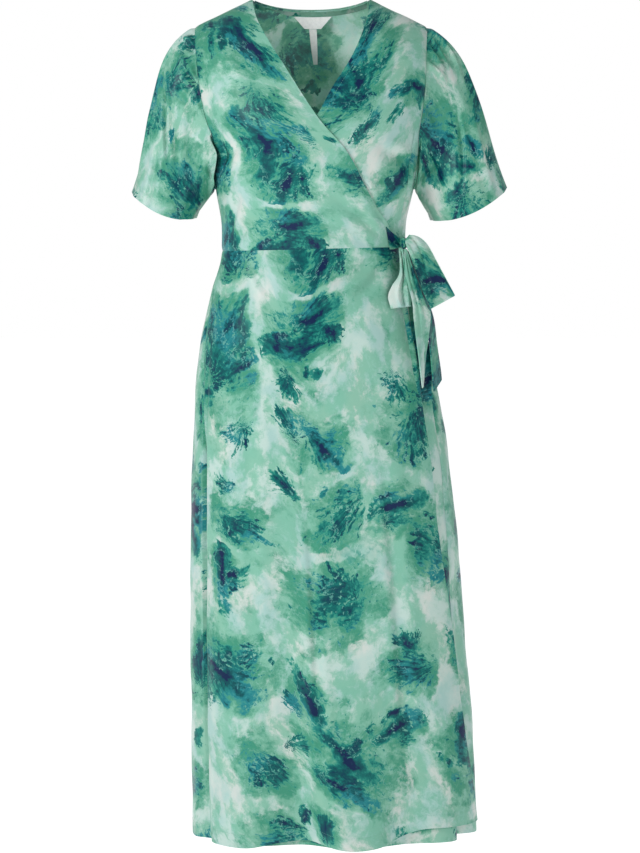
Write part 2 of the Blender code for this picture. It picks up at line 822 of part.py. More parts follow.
def woven_label(back_rows, material):
    """Make the woven label that hangs straight down from the binding."""
    line = hanging_line(back_rows)
    grid = []
    for r in range(LABEL_ROWS):
        v = r / (LABEL_ROWS - 1)
        width = mix(LABEL_FOOT_WIDTH, LABEL_TOP_WIDTH, v)
        cells = []
        for c in range(LABEL_COLUMNS):
            x = LABEL_CENTRE - width * (c / (LABEL_COLUMNS - 1) - 0.5)
            point = point_over(line, x)
            point.z -= LABEL_DROP + LABEL_HEIGHT * (1 - v)
            cells.append(point)
        grid.append(cells)
    return wall("label_woven", grid, grid_normals(grid), LABEL_CLOTH, material)


def label_strip(back_rows, material):
    """Make the narrow strip that hangs from the label and twists."""
    start = point_over(hanging_line(back_rows), LABEL_CENTRE)
    start.z -= LABEL_DROP + LABEL_HEIGHT + SEAM_GAP
    grid = []
    for r in range(STRIP_ROWS):
        v = r / (STRIP_ROWS - 1)
        width = mix(STRIP_FOOT_WIDTH, STRIP_TOP_WIDTH, v)
        middle = start + Vector((STRIP_DRIFT, -STRIP_SWING, -STRIP_LENGTH)) * (1 - v)
        turn = STRIP_TWIST * (1 - v) ** 1.5
        arm = Vector((math.cos(turn), math.sin(turn), 0.0)) * width / 2
        grid.append([middle + arm, middle, middle - arm])
    return wall("label_strip", grid, grid_normals(grid), LABEL_CLOTH, material)


def station_points(stations, share):
    """Return the two edges of a sash piece a share of the way along it."""
    place = share * (len(stations) - 1)
    Keyed = namedtuple("Keyed", ("at",) + Station._fields)
    rows = [Keyed(i, *station) for i, station in enumerate(stations)]
    values = [read_table(rows, "at", name, place) for name in Station._fields]
    return Vector(values[:3]), Vector(values[3:])


def sash_line(left, right, crown):
    """Return a row of points across the sash, raised in its middle."""
    raised = Vector((0.0, -crown, 0.0))
    heights = (0.0, SHOULDER_OF_CROWN, 1.0, SHOULDER_OF_CROWN, 0.0)
    return [mix(left, right, i / 4) + raised * height for i, height in enumerate(heights)]


def sash_piece(name, stations, rows, material):
    """Make a flat stretch of the sash."""
    grid = []
    for r in range(rows):
        left, right = station_points(stations, 1 - r / (rows - 1))
        grid.append(sash_line(left, right, SASH_CROWN))
    return wall(name, grid, grid_normals(grid), SASH_CLOTH, material)


def tie_stub(material):
    """Make the short end of the sash that lies on the over front, up to the knot."""
    grid = []
    for row in STUB:
        line = []
        for c in range(STUB_COLUMNS):
            across = c / (STUB_COLUMNS - 1)
            x = mix(row.high_x, row.low_x, across)
            height = mix(row.high_z, row.low_z, across)
            section = section_at(height)
            point = body_point(angle_of(x, height), height)
            out = Vector((x / section.half_width ** 2, point.y / section.front ** 2, 0.0))
            line.append(point + out.normalized() * row.outward)
        grid.append(line)
    return wall("tie_stub", grid, grid_normals(grid), SASH_CLOTH, material)


def sash_loop(name, stations, rows, material):
    """Make a loop of the bow: out from the knot in front, round its fold and back behind."""
    gap = SASH_CLOTH * 2 + LOOP_ROUNDING
    behind = Vector((0.0, gap, 0.0))
    edges = [station_points(stations, r / (rows - 1)) for r in range(rows)]
    front = [sash_line(left, right, SASH_CROWN) for left, right in edges]
    back = [sash_line(left + behind, right + behind, -SASH_CROWN * LOOP_BACK_CROWN) for left, right in edges]
    end_left, end_right = edges[-1]
    near_left, near_right = edges[-2]
    onward = (end_left - near_left + end_right - near_right).normalized()
    fold = []
    for k in range(1, LOOP_FOLD_ROWS + 1):
        turn = math.pi * k / (LOOP_FOLD_ROWS + 1)
        push = onward * math.sin(turn) * gap / 2 + behind * (1 - math.cos(turn)) / 2
        fold.append(sash_line(end_left + push, end_right + push, SASH_CROWN * math.cos(turn)))
    grid = back + fold[::-1] + front[::-1]
    return wall(name, grid, grid_normals(grid), SASH_CLOTH, material)


def knot(material):
    """Make the knot: a small wrapped form, drawn in round its middle."""
    points = []
    for r in range(1, KNOT_RINGS):
        tilt = math.pi * r / KNOT_RINGS
        for c in range(KNOT_SIDES):
            turn = math.tau * c / KNOT_SIDES
            swell = 1.0 - KNOT_WAIST * math.exp(-((tilt - math.pi / 2) / KNOT_WAIST_SPREAD) ** 2)
            direction = Vector((math.sin(tilt) * math.cos(turn) * swell,
                                math.sin(tilt) * math.sin(turn) * swell, math.cos(tilt)))
            points.append(KNOT_CENTRE + direction * KNOT_RADII)
    top = len(points)
    points.append(KNOT_CENTRE + Vector((0.0, 0.0, KNOT_RADII.z)))
    points.append(KNOT_CENTRE - Vector((0.0, 0.0, KNOT_RADII.z)))
    faces = []
    for c in range(KNOT_SIDES):
        d = (c + 1) % KNOT_SIDES
        faces.append((top, c, d))
        low = (KNOT_RINGS - 2) * KNOT_SIDES
        faces.append((top + 1, low + d, low + c))
        for r in range(KNOT_RINGS - 2):
            a = r * KNOT_SIDES
            b = a + KNOT_SIDES
            faces.append((a + c, b + c, b + d, a + d))
    return add_object("tie_knot", points, faces, material)


def build():
    """Make the whole dress."""
    clear_scene()
    mint = cloth_material("print_mint", MINT)
    jade = cloth_material("print_jade", JADE)
    teal = cloth_material("print_teal", TEAL)
    shade = cloth_material("print_shade", SHADE)
    white = cloth_material("label_white", LABEL_WHITE, LABEL_ROUGHNESS)
    back_rows = back_bodice(BACK_COLUMNS, BODICE_ROWS, shade)
    front_bodice("front_bodice_over", -1, OVER_EDGE, over_lift, FRONT_COLUMNS, BODICE_ROWS, mint)
    front_bodice("front_bodice_under", 1, UNDER_EDGE, under_sink, FRONT_COLUMNS, BODICE_ROWS, jade)
    sleeve("sleeve_right", -1, CUFF_RIGHT, SLEEVE_COLUMNS, SLEEVE_ROWS, jade)
    sleeve("sleeve_left", 1, CUFF_LEFT, SLEEVE_COLUMNS, SLEEVE_ROWS, jade)
    skirt(shade, mint, jade)
    neck_binding(back_rows, teal)
    woven_label(back_rows, white)
    label_strip(back_rows, white)
    tie_stub(teal)
    knot(teal)
    sash_loop("loop_right", LOOP_RIGHT, LOOP_ROWS, teal)
    sash_loop("loop_left", LOOP_LEFT, LOOP_ROWS, mint)
    sash_piece("tail_front", TAIL_FRONT, TAIL_ROWS, mint)
    sash_piece("tail_side", TAIL_SIDE, TAIL_ROWS, teal)


build()
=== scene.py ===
"""Looks of the wrap dress: printed cloth, seams, stitches, labels, bow and the studio round it.

Metres, +Z up, -Y to the front, +X to the wearer's left. The origin lies midway between the
two neck points, on the line of the shoulder seams. Heights below it are negative.
"""

import logging
import math
from dataclasses import astuple, dataclass, replace
from enum import Enum, IntEnum
from functools import cached_property
from typing import Callable, Iterable, Sequence, TypeVar

import bpy
import numpy as np
from mathutils import Matrix, Vector


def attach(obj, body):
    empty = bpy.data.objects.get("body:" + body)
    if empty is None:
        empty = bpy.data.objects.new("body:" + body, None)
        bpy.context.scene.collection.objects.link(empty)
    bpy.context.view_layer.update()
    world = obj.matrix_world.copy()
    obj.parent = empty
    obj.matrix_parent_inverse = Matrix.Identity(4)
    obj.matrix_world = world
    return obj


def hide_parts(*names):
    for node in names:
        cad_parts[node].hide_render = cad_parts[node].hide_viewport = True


log = logging.getLogger("wrap_dress")

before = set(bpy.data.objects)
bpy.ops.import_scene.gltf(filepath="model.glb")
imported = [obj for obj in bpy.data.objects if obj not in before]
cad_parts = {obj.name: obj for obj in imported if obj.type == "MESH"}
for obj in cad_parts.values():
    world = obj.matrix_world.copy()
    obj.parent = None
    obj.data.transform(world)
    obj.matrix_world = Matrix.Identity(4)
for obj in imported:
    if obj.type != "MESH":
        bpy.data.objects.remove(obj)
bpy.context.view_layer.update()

Colour = tuple[float, float, float, float]
Span = tuple[float, float]
Point = tuple[float, float, float]
Material = bpy.types.Material
Array = np.ndarray
Row = TypeVar("Row")

CUT_MAP = "cut"
SHARP_RIM = math.radians(50)
STITCH_LIFT = 0.00005
TINY = 1e-12


class Side(IntEnum):
    """A side of the dress, as the sign of its x. The over front is the right one."""

    RIGHT = -1
    LEFT = 1


class Held(Enum):
    """How a sheet is held."""

    DRAPED = "draped"
    HUNG = "hung"
    FOLDED = "folded"
    LAID = "laid"


class Slot(Enum):
    """The record's materials."""

    CLOTH = "printed_cloth"
    SASH = "sash"
    LABEL = "label"


def srgb(red: int, green: int, blue: int) -> Colour:
    """Return a linear colour from three display values of 0 to 255."""
    parts = []
    for part in (red, green, blue):
        share = part / 255.0
        parts.append(share / 12.92 if share <= 0.04045 else ((share + 0.055) / 1.055) ** 2.4)
    return (*parts, 1.0)


def table(kind: type[Row], rows: Iterable[Sequence[float]]) -> tuple[Row, ...]:
    """Return a table whose rows are all of one kind, from their numbers."""
    return tuple(kind(*row) for row in rows)


class Field:
    """A node's output with arithmetic: an expression on values adds its Math nodes."""

    def __init__(self, graph: "Graph", socket: bpy.types.NodeSocket) -> None:
        """Keep the graph being built and the socket."""
        self.graph = graph
        self.socket = socket

    def _math(self, operation: str, *values: "Field | float") -> "Field":
        """Return a Math node's result on values, in their order."""
        return self.graph.node("ShaderNodeMath", {"operation": operation}, dict(enumerate(values)))

    def __add__(self, other: "Field | float") -> "Field":
        """Return the sum."""
        return self._math("ADD", self, other)

    __radd__ = __add__

    def __sub__(self, other: "Field | float") -> "Field":
        """Return the difference."""
        return self._math("SUBTRACT", self, other)

    def __rsub__(self, other: float) -> "Field":
        """Return a number less this value."""
        return self._math("SUBTRACT", other, self)

    def __mul__(self, other: "Field | float") -> "Field":
        """Return the product."""
        return self._math("MULTIPLY", self, other)

    __rmul__ = __mul__

    def __truediv__(self, other: "Field | float") -> "Field":
        """Return the quotient."""
        return self._math("DIVIDE", self, other)

    def __abs__(self) -> "Field":
        """Return the size of this value."""
        return self._math("ABSOLUTE", self)

    def sibling(self, output: int | str) -> "Field":
        """Return another output of the same node."""
        return Field(self.graph, self.graph.find(self.socket.node.outputs, output))

    def over(self, other: "Field | float") -> "Field":
        """Return the larger of two values."""
        return self._math("MAXIMUM", self, other)

    def step(self, low: "Field | float", high: "Field | float") -> "Field":
        """Return a soft step: 0 at low, 1 at high, where low may lie above high."""
        inputs = {"Value": self, "From Min": low, "From Max": high}
        return self.graph.node("ShaderNodeMapRange", {"interpolation_type": "SMOOTHSTEP"}, inputs)


class Graph:
    """A node tree while it is built."""

    def __init__(self, tree: bpy.types.NodeTree) -> None:
        """Keep the tree."""
        self.tree = tree

    def node(self, kind: str, settings: dict | None = None, inputs: dict | None = None,
             output: int | str = 0) -> Field:
        """Add a node, set it and feed it.

        Args:
            kind: the node's type.
            settings: its properties, which are set first; "stops" fills a colour ramp.
            inputs: values or fields by socket identifier, name or place.
            output: the output that is wanted, by name or place.

        Returns:
            The wanted output.
        """
        made = self.tree.nodes.new(kind)
        for key, value in (settings or {}).items():
            if key == "stops":
                self._fill_ramp(made.color_ramp, value)
            else:
                setattr(made, key, value)
        for key, value in (inputs or {}).items():
            self.feed(self.find(made.inputs, key), value)
        return Field(self, self.find(made.outputs, output))

    @staticmethod
    def _fill_ramp(ramp: bpy.types.ColorRamp, stops: Sequence[tuple[float, Colour]]) -> None:
        """Set a ramp's stops, lowest first."""
        while len(ramp.elements) < len(stops):
            ramp.elements.new(1.0)
        for element, (place, colour) in zip(ramp.elements, stops):
            element.position = place
            element.color = colour

    @staticmethod
    def find(sockets: bpy.types.bpy_prop_collection, key: int | str) -> bpy.types.NodeSocket:
        """Return a socket by place, identifier or name."""
        if isinstance(key, int):
            return sockets[key]
        return next((s for s in sockets if s.identifier == key), None) or sockets[key]

    def feed(self, socket: bpy.types.NodeSocket, value: "Field | float | Sequence[float]") -> None:
        """Link a field to a socket, or set the socket's own number."""
        if isinstance(value, Field):
            self.tree.links.new(value.socket, socket)
        else:
            socket.default_value = value


class Shade(Graph):
    """A node material while it is built."""

    def __init__(self, name: str) -> None:
        """Start an empty material with its output.

        Args:
            name: the material's name.
        """
        self.material = bpy.data.materials.new(name)
        self.material.use_nodes = True
        super().__init__(self.material.node_tree)
        self.tree.nodes.clear()
        self.output = self.tree.nodes.new("ShaderNodeOutputMaterial")

    def vector(self, operation: str, *values: Field | Sequence[float], **named: Field | float) -> Field:
        """Return a Vector Math node's vector."""
        inputs = dict(enumerate(values)) | named
        return self.node("ShaderNodeVectorMath", {"operation": operation}, inputs, "Vector")

    def length(self, value: Field) -> Field:
        """Return a vector's length."""
        return self.node("ShaderNodeVectorMath", {"operation": "LENGTH"}, {0: value}, "Value")

    def blend(self, share: Field | float, start: Field | Colour, end: Field | Colour) -> Field:
        """Return the colour a share of the way from start to end."""
        inputs = {"Factor_Float": share, "A_Color": start, "B_Color": end}
        return self.node("ShaderNodeMix", {"data_type": "RGBA"}, inputs, "Result_Color")

    def noise(self, place: Field, scale: float, detail: float = 2.0, roughness: float = 0.5,
              output: str = "Fac", offset: Sequence[float] = (0.0, 0.0, 0.0)) -> Field:
        """Return noise over a place.

        Args:
            place: where it is read.
            scale: its waves in a metre.
            detail: its finer layers.
            roughness: how strong those are.
            output: "Fac" for a value or "Color" for a vector.
            offset: how far the place is moved, so that two noises differ.

        Returns:
            The noise, around one half.
        """
        moved = self.vector("ADD", place, offset) if any(offset) else place
        inputs = {"Vector": moved, "Scale": scale, "Detail": detail, "Roughness": roughness}
        return self.node("ShaderNodeTexNoise", {}, inputs, output)

    def surface(self, **inputs: "Field | float | Sequence[float]") -> None:
        """Add the Principled shader and link it to the output."""
        named = {key.replace("_", " ").title(): value for key, value in inputs.items()}
        named = {key.replace("Ior", "IOR"): value for key, value in named.items()}
        shader = self.node("ShaderNodeBsdfPrincipled", {}, named)
        self.feed(self.output.inputs["Surface"], shader)


@dataclass(frozen=True)
class Patches:
    """Soft-edged patches of noise on the cloth, which set in between low and high."""

    scale: float
    detail: float
    roughness: float
    offset: Span
    low: float
    high: float

    def noise(self, shade: Shade, place: Field) -> Field:
        """Return the noise itself."""
        return shade.noise(place, self.scale, self.detail, self.roughness, offset=(*self.offset, 0.0))

    def over(self, shade: Shade, place: Field, push: Field | None = None) -> Field:
        """Return where the patches lie, from 0 to 1, with a push added to their noise first."""
        value = self.noise(shade, place)
        return (value if push is None else value + push).step(self.low, self.high)


@dataclass(frozen=True)
class Warp:
    """A vector noise that bends the print, and how far it moves it."""

    scale: float
    detail: float
    roughness: float
    reach: float

    def move(self, shade: Shade, read_at: Field, place: Field) -> Field:
        """Return a place moved by the noise that is read at another."""
        drift = shade.noise(read_at, self.scale, self.detail, self.roughness, "Color")
        drift = shade.vector("SUBTRACT", drift, (0.5, 0.5, 0.5))
        return shade.vector("ADD", place, shade.vector("SCALE", drift, Scale=self.reach))


@dataclass(frozen=True)
class Roughening:
    """How strongly clouds, brush strokes and fine dabs push a value up and down."""

    cloud: float
    strokes: float
    fine: float

    def push(self, cloud: Field, strokes: Field, fine: Field) -> Field:
        """Return the push, around 0."""
        return (cloud - 0.5) * self.cloud + (strokes - 0.5) * self.strokes + (fine - 0.5) * self.fine


@dataclass(frozen=True)
class BlotKind:
    """One size of dyed blot: how it is strewn, how it spreads, and its dark core."""

    spacing: float
    small: float
    large: float
    absent: float
    stretch: float
    depth: float
    core_width: float
    core_length: float
    core_absent: float
    offset: Point


@dataclass(frozen=True)
class PrintedCloth:
    """Smooth crepe with a watercolour print: pale fields, green washes, feathered teal blots."""

    name: str = "printed_cloth"
    aqua: Colour = srgb(194, 220, 212)
    sky: Colour = srgb(170, 208, 202)
    milk: Colour = srgb(230, 226, 221)
    mint: Colour = srgb(116, 188, 160)
    jade: Colour = srgb(66, 152, 124)
    blue_teal: Colour = srgb(40, 136, 152)
    frost: Colour = srgb(168, 214, 208)
    blot_stops: tuple[tuple[float, Colour], ...] = (
        (0.1, srgb(96, 176, 150)),
        (0.3, srgb(44, 146, 130)),
        (0.5, srgb(8, 114, 108)),
        (0.7, srgb(1, 82, 88)),
        (0.86, srgb(3, 58, 84)),
        (0.95, srgb(8, 38, 78)),
    )
    kinds: tuple[BlotKind, ...] = (
        BlotKind(0.18, 0.04, 0.084, 0.14, 1.2, 0.6, 0.0046, 0.018, 0.38, (0.0, 0.0, 0.0)),
        BlotKind(0.116, 0.022, 0.05, 0.14, 1.4, 0.56, 0.004, 0.014, 0.56, (3.13, 1.72, 0.0)),
        BlotKind(0.076, 0.01, 0.026, 0.44, 1.2, 0.5, 0.0028, 0.006, 0.88, (5.31, 8.27, 0.0)),
    )
    cell_rim: float = 0.1
    draw_width: float = 0.01
    seed_spread: float = 23.0
    fan_middle: float = 0.8
    rays: float = 9.0
    ray_sizes: Span = (0.35, 0.6)
    brush: Point = (18.0, 120.0, 1.0)
    blot_size: float = 0.9
    edge_push: Roughening = Roughening(2.3, 1.7, 0.45)
    soft_edge: Span = (-0.35, 0.85)
    sharp_edge: Span = (0.0, 0.34)
    depth_push: Roughening = Roughening(1.4, 1.1, 0.45)
    bleed_fall: float = 0.52
    bleed_cloud: float = 1.5
    bleed_edge: Span = (-0.1, 0.8)
    core_push: Roughening = Roughening(8.0, 3.0, 3.0)
    core_edge: Span = (1.15, 0.8)
    core_depth: float = 1.05
    halo_edge: Span = (5.0, 0.8)
    halo_depth: float = 0.74
    bend: Warp = Warp(9.0, 2.0, 0.5, 0.036)
    shake: Warp = Warp(75.0, 3.0, 0.65, 0.011)
    upright: Point = (1.0, 0.66, 1.0)
    pale_fields: Patches = Patches(26.0, 2.0, 0.5, (1.0, 4.0), 0.42, 0.6)
    milky: Patches = Patches(17.0, 5.0, 0.62, (9.0, 6.0), 0.47, 0.65)
    milk_share: float = 0.6
    crisp: Patches = Patches(21.0, 1.0, 0.5, (5.0, 0.0), 0.4, 0.62)
    painted: Patches = Patches(22.0, 7.0, 0.68, (7.0, 2.0), 0.43, 0.56)
    painted_fine: float = 0.06
    small_bleed: float = 0.9
    bleed_onset: Span = (0.06, 0.5)
    deep: Patches = Patches(21.0, 6.0, 0.68, (2.0, 9.0), 0.36, 0.64)
    deep_near: float = 0.3
    deep_fine: float = 0.16
    wash_floor: float = 0.8
    veins: Patches = Patches(48.0, 3.0, 0.58, (3.0, 3.0), 0.024, 0.0)
    veined: Patches = Patches(18.0, 2.0, 0.5, (8.0, 8.0), 0.47, 0.58)
    vein_end: Span = (0.95, 0.8)
    vein_cut: float = 0.3
    flecks: Patches = Patches(190.0, 2.0, 0.5, (4.0, 5.0), 0.6, 0.66)
    flecked: Patches = Patches(20.0, 1.0, 0.5, (0.0, 7.0), 0.48, 0.58)
    fleck_cut: float = 0.45
    specks: Patches = Patches(170.0, 2.0, 0.5, (6.0, 3.0), 0.66, 0.71)
    speck_depth: float = 0.6
    bluish: Patches = Patches(13.0, 2.0, 0.5, (6.0, 1.0), 0.5, 0.62)
    blue_end: Span = (0.72, 0.5)
    blue_share: float = 0.55
    dye_onset: Span = (0.06, 0.3)
    frost_share: float = 0.24
    threads: float = 900.0
    thread_tone: float = 0.14
    crinkles: float = 120.0
    shine: float = 0.38
    shine_spread: float = 0.16
    tone: float = 0.77
    reverse: bool = False
    # The reverse is muted towards reverse_pale and brightened well past the cloth's own colour: painted
    # light for the shaded inner sides and the inside of the neck.
    reverse_gain: float = 2.05
    reverse_pale: Colour = srgb(186, 208, 196)
    reverse_share: float = 0.24

    def blots(self, shade: Shade, place: Field, kind: BlotKind, crisp: Field,
              fine: Field) -> tuple[Field, Field]:
        """Return how deep one kind of blot dyes the cloth, and its green bleeding.

        Args:
            shade: the material being built.
            place: where on the cloth.
            kind: the blots' sizes.
            crisp: where their edges are hard.
            fine: the small dabs that break them up.

        Returns:
            The dye's depth and the wash around it, both from 0 to 1.
        """
        moved = shade.vector("ADD", place, kind.offset)
        cell = {"Vector": moved, "Scale": 1.0 / kind.spacing, "Randomness": 0.7}
        centre = shade.node("ShaderNodeTexVoronoi", {"voronoi_dimensions": "2D"}, cell, "Position")
        chance = centre.sibling("Color")
        edges = {"voronoi_dimensions": "2D", "feature": "DISTANCE_TO_EDGE"}
        inside = shade.node("ShaderNodeTexVoronoi", edges, cell, "Distance").step(0.0, self.cell_rim)
        size_draw = shade.node("ShaderNodeSeparateColor", {}, {"Color": chance}, 0)
        turn_draw, keep_draw = size_draw.sibling(1), size_draw.sibling(2)

        def drawn(absent: float) -> Field:
            """Return 1 in the cells that are kept, where a share of them is absent."""
            return keep_draw.step(absent - self.draw_width, absent + self.draw_width)

        turned = shade.node("ShaderNodeVectorRotate", {"rotation_type": "Z_AXIS"},
                            {"Vector": shade.vector("SUBTRACT", moved, centre),
                             "Angle": turn_draw * math.tau})
        shaped = shade.vector("MULTIPLY", turned, (1.0, kind.stretch, 1.0))
        reach = shade.length(shaped) / (size_draw * (kind.large - kind.small) + kind.small)
        seeded = shade.vector("SCALE", chance, Scale=self.seed_spread)
        fan = shade.vector("ADD", shaped, (kind.large * self.fan_middle, 0.0, 0.0))
        outward = shade.vector("SCALE", shade.vector("NORMALIZE", fan), Scale=self.rays)
        rays = shade.noise(shade.vector("ADD", outward, seeded), 1.0, 2.0, 0.6)
        brushed = shade.vector("MULTIPLY", turned, self.brush)
        strokes = shade.noise(shade.vector("ADD", brushed, seeded), 1.0, 3.0, 0.6)
        strokes = strokes + (rays - strokes) * size_draw.step(*self.ray_sizes)
        cloud = shade.noise(moved, 38.0, 7.0, 0.68)
        ragged = (cloud, strokes, fine)
        level = self.blot_size - reach + self.edge_push.push(*ragged)
        soft, sharp = level.step(*self.soft_edge), level.step(*self.sharp_edge)
        present = drawn(kind.absent) * inside
        depth = (soft + (sharp - soft) * crisp) * present * (kind.depth + self.depth_push.push(*ragged))
        bleed = (1.0 - reach * self.bleed_fall + (cloud - 0.5) * self.bleed_cloud).step(*self.bleed_edge)
        core_shape = shade.vector("MULTIPLY", turned, (1 / kind.core_length, 1 / kind.core_width, 1.0))
        core_reach = shade.length(core_shape) - self.core_push.push(*ragged)
        core = core_reach.step(*self.core_edge) * self.core_depth
        core = core.over(core_reach.step(*self.halo_edge) * self.halo_depth)
        return depth.over(core * drawn(kind.core_absent)), bleed * present

    def dye(self, shade: Shade, place: Field) -> Field:
        """Return the print's colour over the cloth.

        Args:
            shade: the material being built.
            place: where on the cloth, in metres on its cut.

        Returns:
            The colour.
        """
        bent = self.bend.move(shade, place, place)
        fine = shade.noise(bent, 150.0, 3.0, 0.62, offset=(2.0, 2.0, 0.0))
        shaken = self.shake.move(shade, place, bent)
        upright = shade.vector("MULTIPLY", shaken, self.upright)
        ground = shade.blend(self.pale_fields.over(shade, upright), self.sky, self.aqua)
        ground = shade.blend(self.milky.over(shade, upright) * self.milk_share, ground, self.milk)
        crisp = self.crisp.over(shade, bent)
        blots = [self.blots(shade, shaken, kind, crisp, fine) for kind in self.kinds]
        near = blots[0][1].over(blots[1][1] * self.small_bleed)
        painted = self.painted.over(shade, upright, (fine - 0.5) * self.painted_fine)
        wash = painted.over(near.step(*self.bleed_onset))
        deep_push = (near - 0.5) * self.deep_near + (fine - 0.5) * self.deep_fine
        deep = self.deep.over(shade, shaken, deep_push)
        wash = wash * (self.wash_floor + deep * (1.0 - self.wash_floor))
        colour = shade.blend(wash, ground, shade.blend(deep, self.mint, self.jade))
        depth = blots[0][0]
        for deeper, _ in blots[1:]:
            depth = depth.over(deeper)
        ridge = abs(self.veins.noise(shade, shaken) - 0.5).step(self.veins.low, self.veins.high)
        veins = ridge * self.veined.over(shade, bent) * depth.step(*self.vein_end)
        flecks = self.flecks.over(shade, shaken) * self.flecked.over(shade, bent)
        specks = self.specks.over(shade, shaken) * near
        depth = (depth - veins * self.vein_cut - flecks * self.fleck_cut).over(specks * self.speck_depth)
        dyed = shade.node("ShaderNodeValToRGB", {"stops": self.blot_stops}, {"Fac": depth}, "Color")
        bluish = self.bluish.over(shade, shaken) * depth.step(*self.blue_end) * self.blue_share
        colour = shade.blend(depth.step(*self.dye_onset), colour,
                             shade.blend(bluish, dyed, self.blue_teal))
        return shade.blend(veins.over(flecks) * self.frost_share, colour, self.frost)

    def build(self) -> Material:
        """Return the cloth's material, which reads the piece's own UV map in metres.

        Returns:
            The material of the right side, or of the reverse, which is muted and brightened as painted
            light.
        """
        shade = Shade(self.name)
        place = shade.node("ShaderNodeUVMap", {"uv_map": CUT_MAP}, {}, "UV")
        tinted = self.dye(shade, place)
        thread = shade.noise(place, self.threads, 2.0, 0.5)
        weave = (thread - 0.5) * self.thread_tone + 1.0
        colour = shade.vector("SCALE", tinted, Scale=weave * self.tone)
        # Painted light: the reverse is muted and brightened so that the shaded inside reads as lit.
        if self.reverse:
            painted_light_reverse = shade.vector("SCALE", colour, Scale=self.reverse_gain)
            colour = shade.blend(self.reverse_share, painted_light_reverse, self.reverse_pale)
        crinkle = shade.noise(place, self.crinkles, 3.0, 0.6)
        bump = {"Strength": 0.18, "Distance": 0.0006,
                "Height": crinkle * 0.6 + thread * 0.25}
        shade.surface(base_color=colour, roughness=self.shine + (crinkle - 0.5) * self.shine_spread,
                      normal=shade.node("ShaderNodeBump", {}, bump), sheen_weight=0.03,
                      sheen_roughness=0.4, specular_ior_level=0.17)
        return shade.material


@dataclass(frozen=True)
class Section:
    """A level section of the dress: its height, middle, half width, depths and squareness."""

    height: float
    centre: float
    half_width: float
    front: float
    back: float
    power: float


@dataclass(frozen=True)
class Mark:
    """One measure of a line over another, such as its x at a height."""

    at: float
    measure: float


@dataclass(frozen=True)
class SkirtLine:
    """Where the skirt's seams and free edges lie across it, from -1 to 1, at a height."""

    height: float
    left_seam: float
    right_seam: float
    over_edge: float
    under_edge: float


@dataclass(frozen=True)
class Fold:
    """A hanging fold of the skirt: angles in degrees, spreads to each side, depth at the hem."""

    start: float
    angle_top: float
    angle_hem: float
    spread_up: float
    spread_down: float
    depth: float
    outer: bool


@dataclass(frozen=True)
class Crease:
    """A soft trough or ridge from one place on a piece to another.

    Across is an angle in degrees on the dress, or a share of the round on a sleeve; up is a
    height, or a share of the sleeve's length. Width, depth and bow are in metres; a depth
    below zero is a trough.
    """

    across_start: float
    up_start: float
    across_end: float
    up_end: float
    width: float
    depth: float
    bow: float = 0.0


def ease(share: Array | float) -> Array:
    """Return a soft step from 0 to 1 as share goes from 0 to 1."""
    held = np.clip(share, 0.0, 1.0)
    return held * held * (3.0 - 2.0 * held)


def bell(away: Array | float) -> Array:
    """Return a soft bump: 1 at 0, fading to both sides."""
    return np.exp(-away ** 2)


def mix(start: Array | float, end: Array | float, share: Array | float) -> Array:
    """Return the value a share of the way from start to end."""
    return start + (end - start) * share


def glide(start: Array, lead: Array, end: Array, trail: Array, t: Array) -> Array:
    """Return points, at shares t, of a curve that leaves start by lead and reaches end by trail."""
    value = start * (2 * t ** 3 - 3 * t ** 2 + 1) + lead * (t ** 3 - 2 * t ** 2 + t)
    return value + end * (3 * t ** 2 - 2 * t ** 3) + trail * (t ** 3 - t ** 2)


def unit(vectors: Array) -> Array:
    """Return vectors at length 1."""
    return vectors / np.maximum(np.linalg.norm(vectors, axis=-1, keepdims=True), TINY)


class Curve:
    """A smooth curve through values at rising keys."""

    def __init__(self, keys: Sequence[float], values: Sequence[float]) -> None:
        """Keep the values and work out the slopes at them.

        Args:
            keys: where the values are, in rising order.
            values: the values.
        """
        self.keys = np.array(keys, float)
        self.values = np.array(values, float)
        low = np.maximum(np.arange(len(keys)) - 1, 0)
        high = np.minimum(np.arange(len(keys)) + 1, len(keys) - 1)
        rise = self.values[high] - self.values[low]
        turning = (self.values[high] - self.values) * (self.values - self.values[low]) <= 0
        turning[[0, -1]] = False
        self.slopes = np.where(turning, 0.0, rise / (self.keys[high] - self.keys[low]))

    @classmethod
    def of(cls, rows: Sequence, key: str = "at", column: str = "measure") -> "Curve":
        """Return the curve through one column of a table, over another."""
        pairs = sorted((getattr(row, key), getattr(row, column)) for row in rows)
        return cls(*zip(*pairs))

    @classmethod
    def read(cls, rows: Sequence, where: Array) -> list[Array]:
        """Return every column of a table at places that are counted in rows."""
        return [cls(range(len(rows)), column).at(where) for column in zip(*map(astuple, rows))]

    def at(self, where: Array | float) -> Array:
        """Return the curve's values at any places."""
        held = np.clip(np.asarray(where, float), self.keys[0], self.keys[-1])
        low = np.clip(np.searchsorted(self.keys, held) - 1, 0, len(self.keys) - 2)
        width = self.keys[low + 1] - self.keys[low]
        return glide(self.values[low], width * self.slopes[low], self.values[low + 1],
                     width * self.slopes[low + 1], (held - self.keys[low]) / width)


@dataclass(frozen=True)
class Wave:
    """Two slight ripples that cross: their waves round the piece and up it, and their phases."""

    strength: float
    turns: float
    rise: float
    phase: float
    cross_turns: float
    cross_rise: float
    cross_phase: float
    twist: float = 0.0


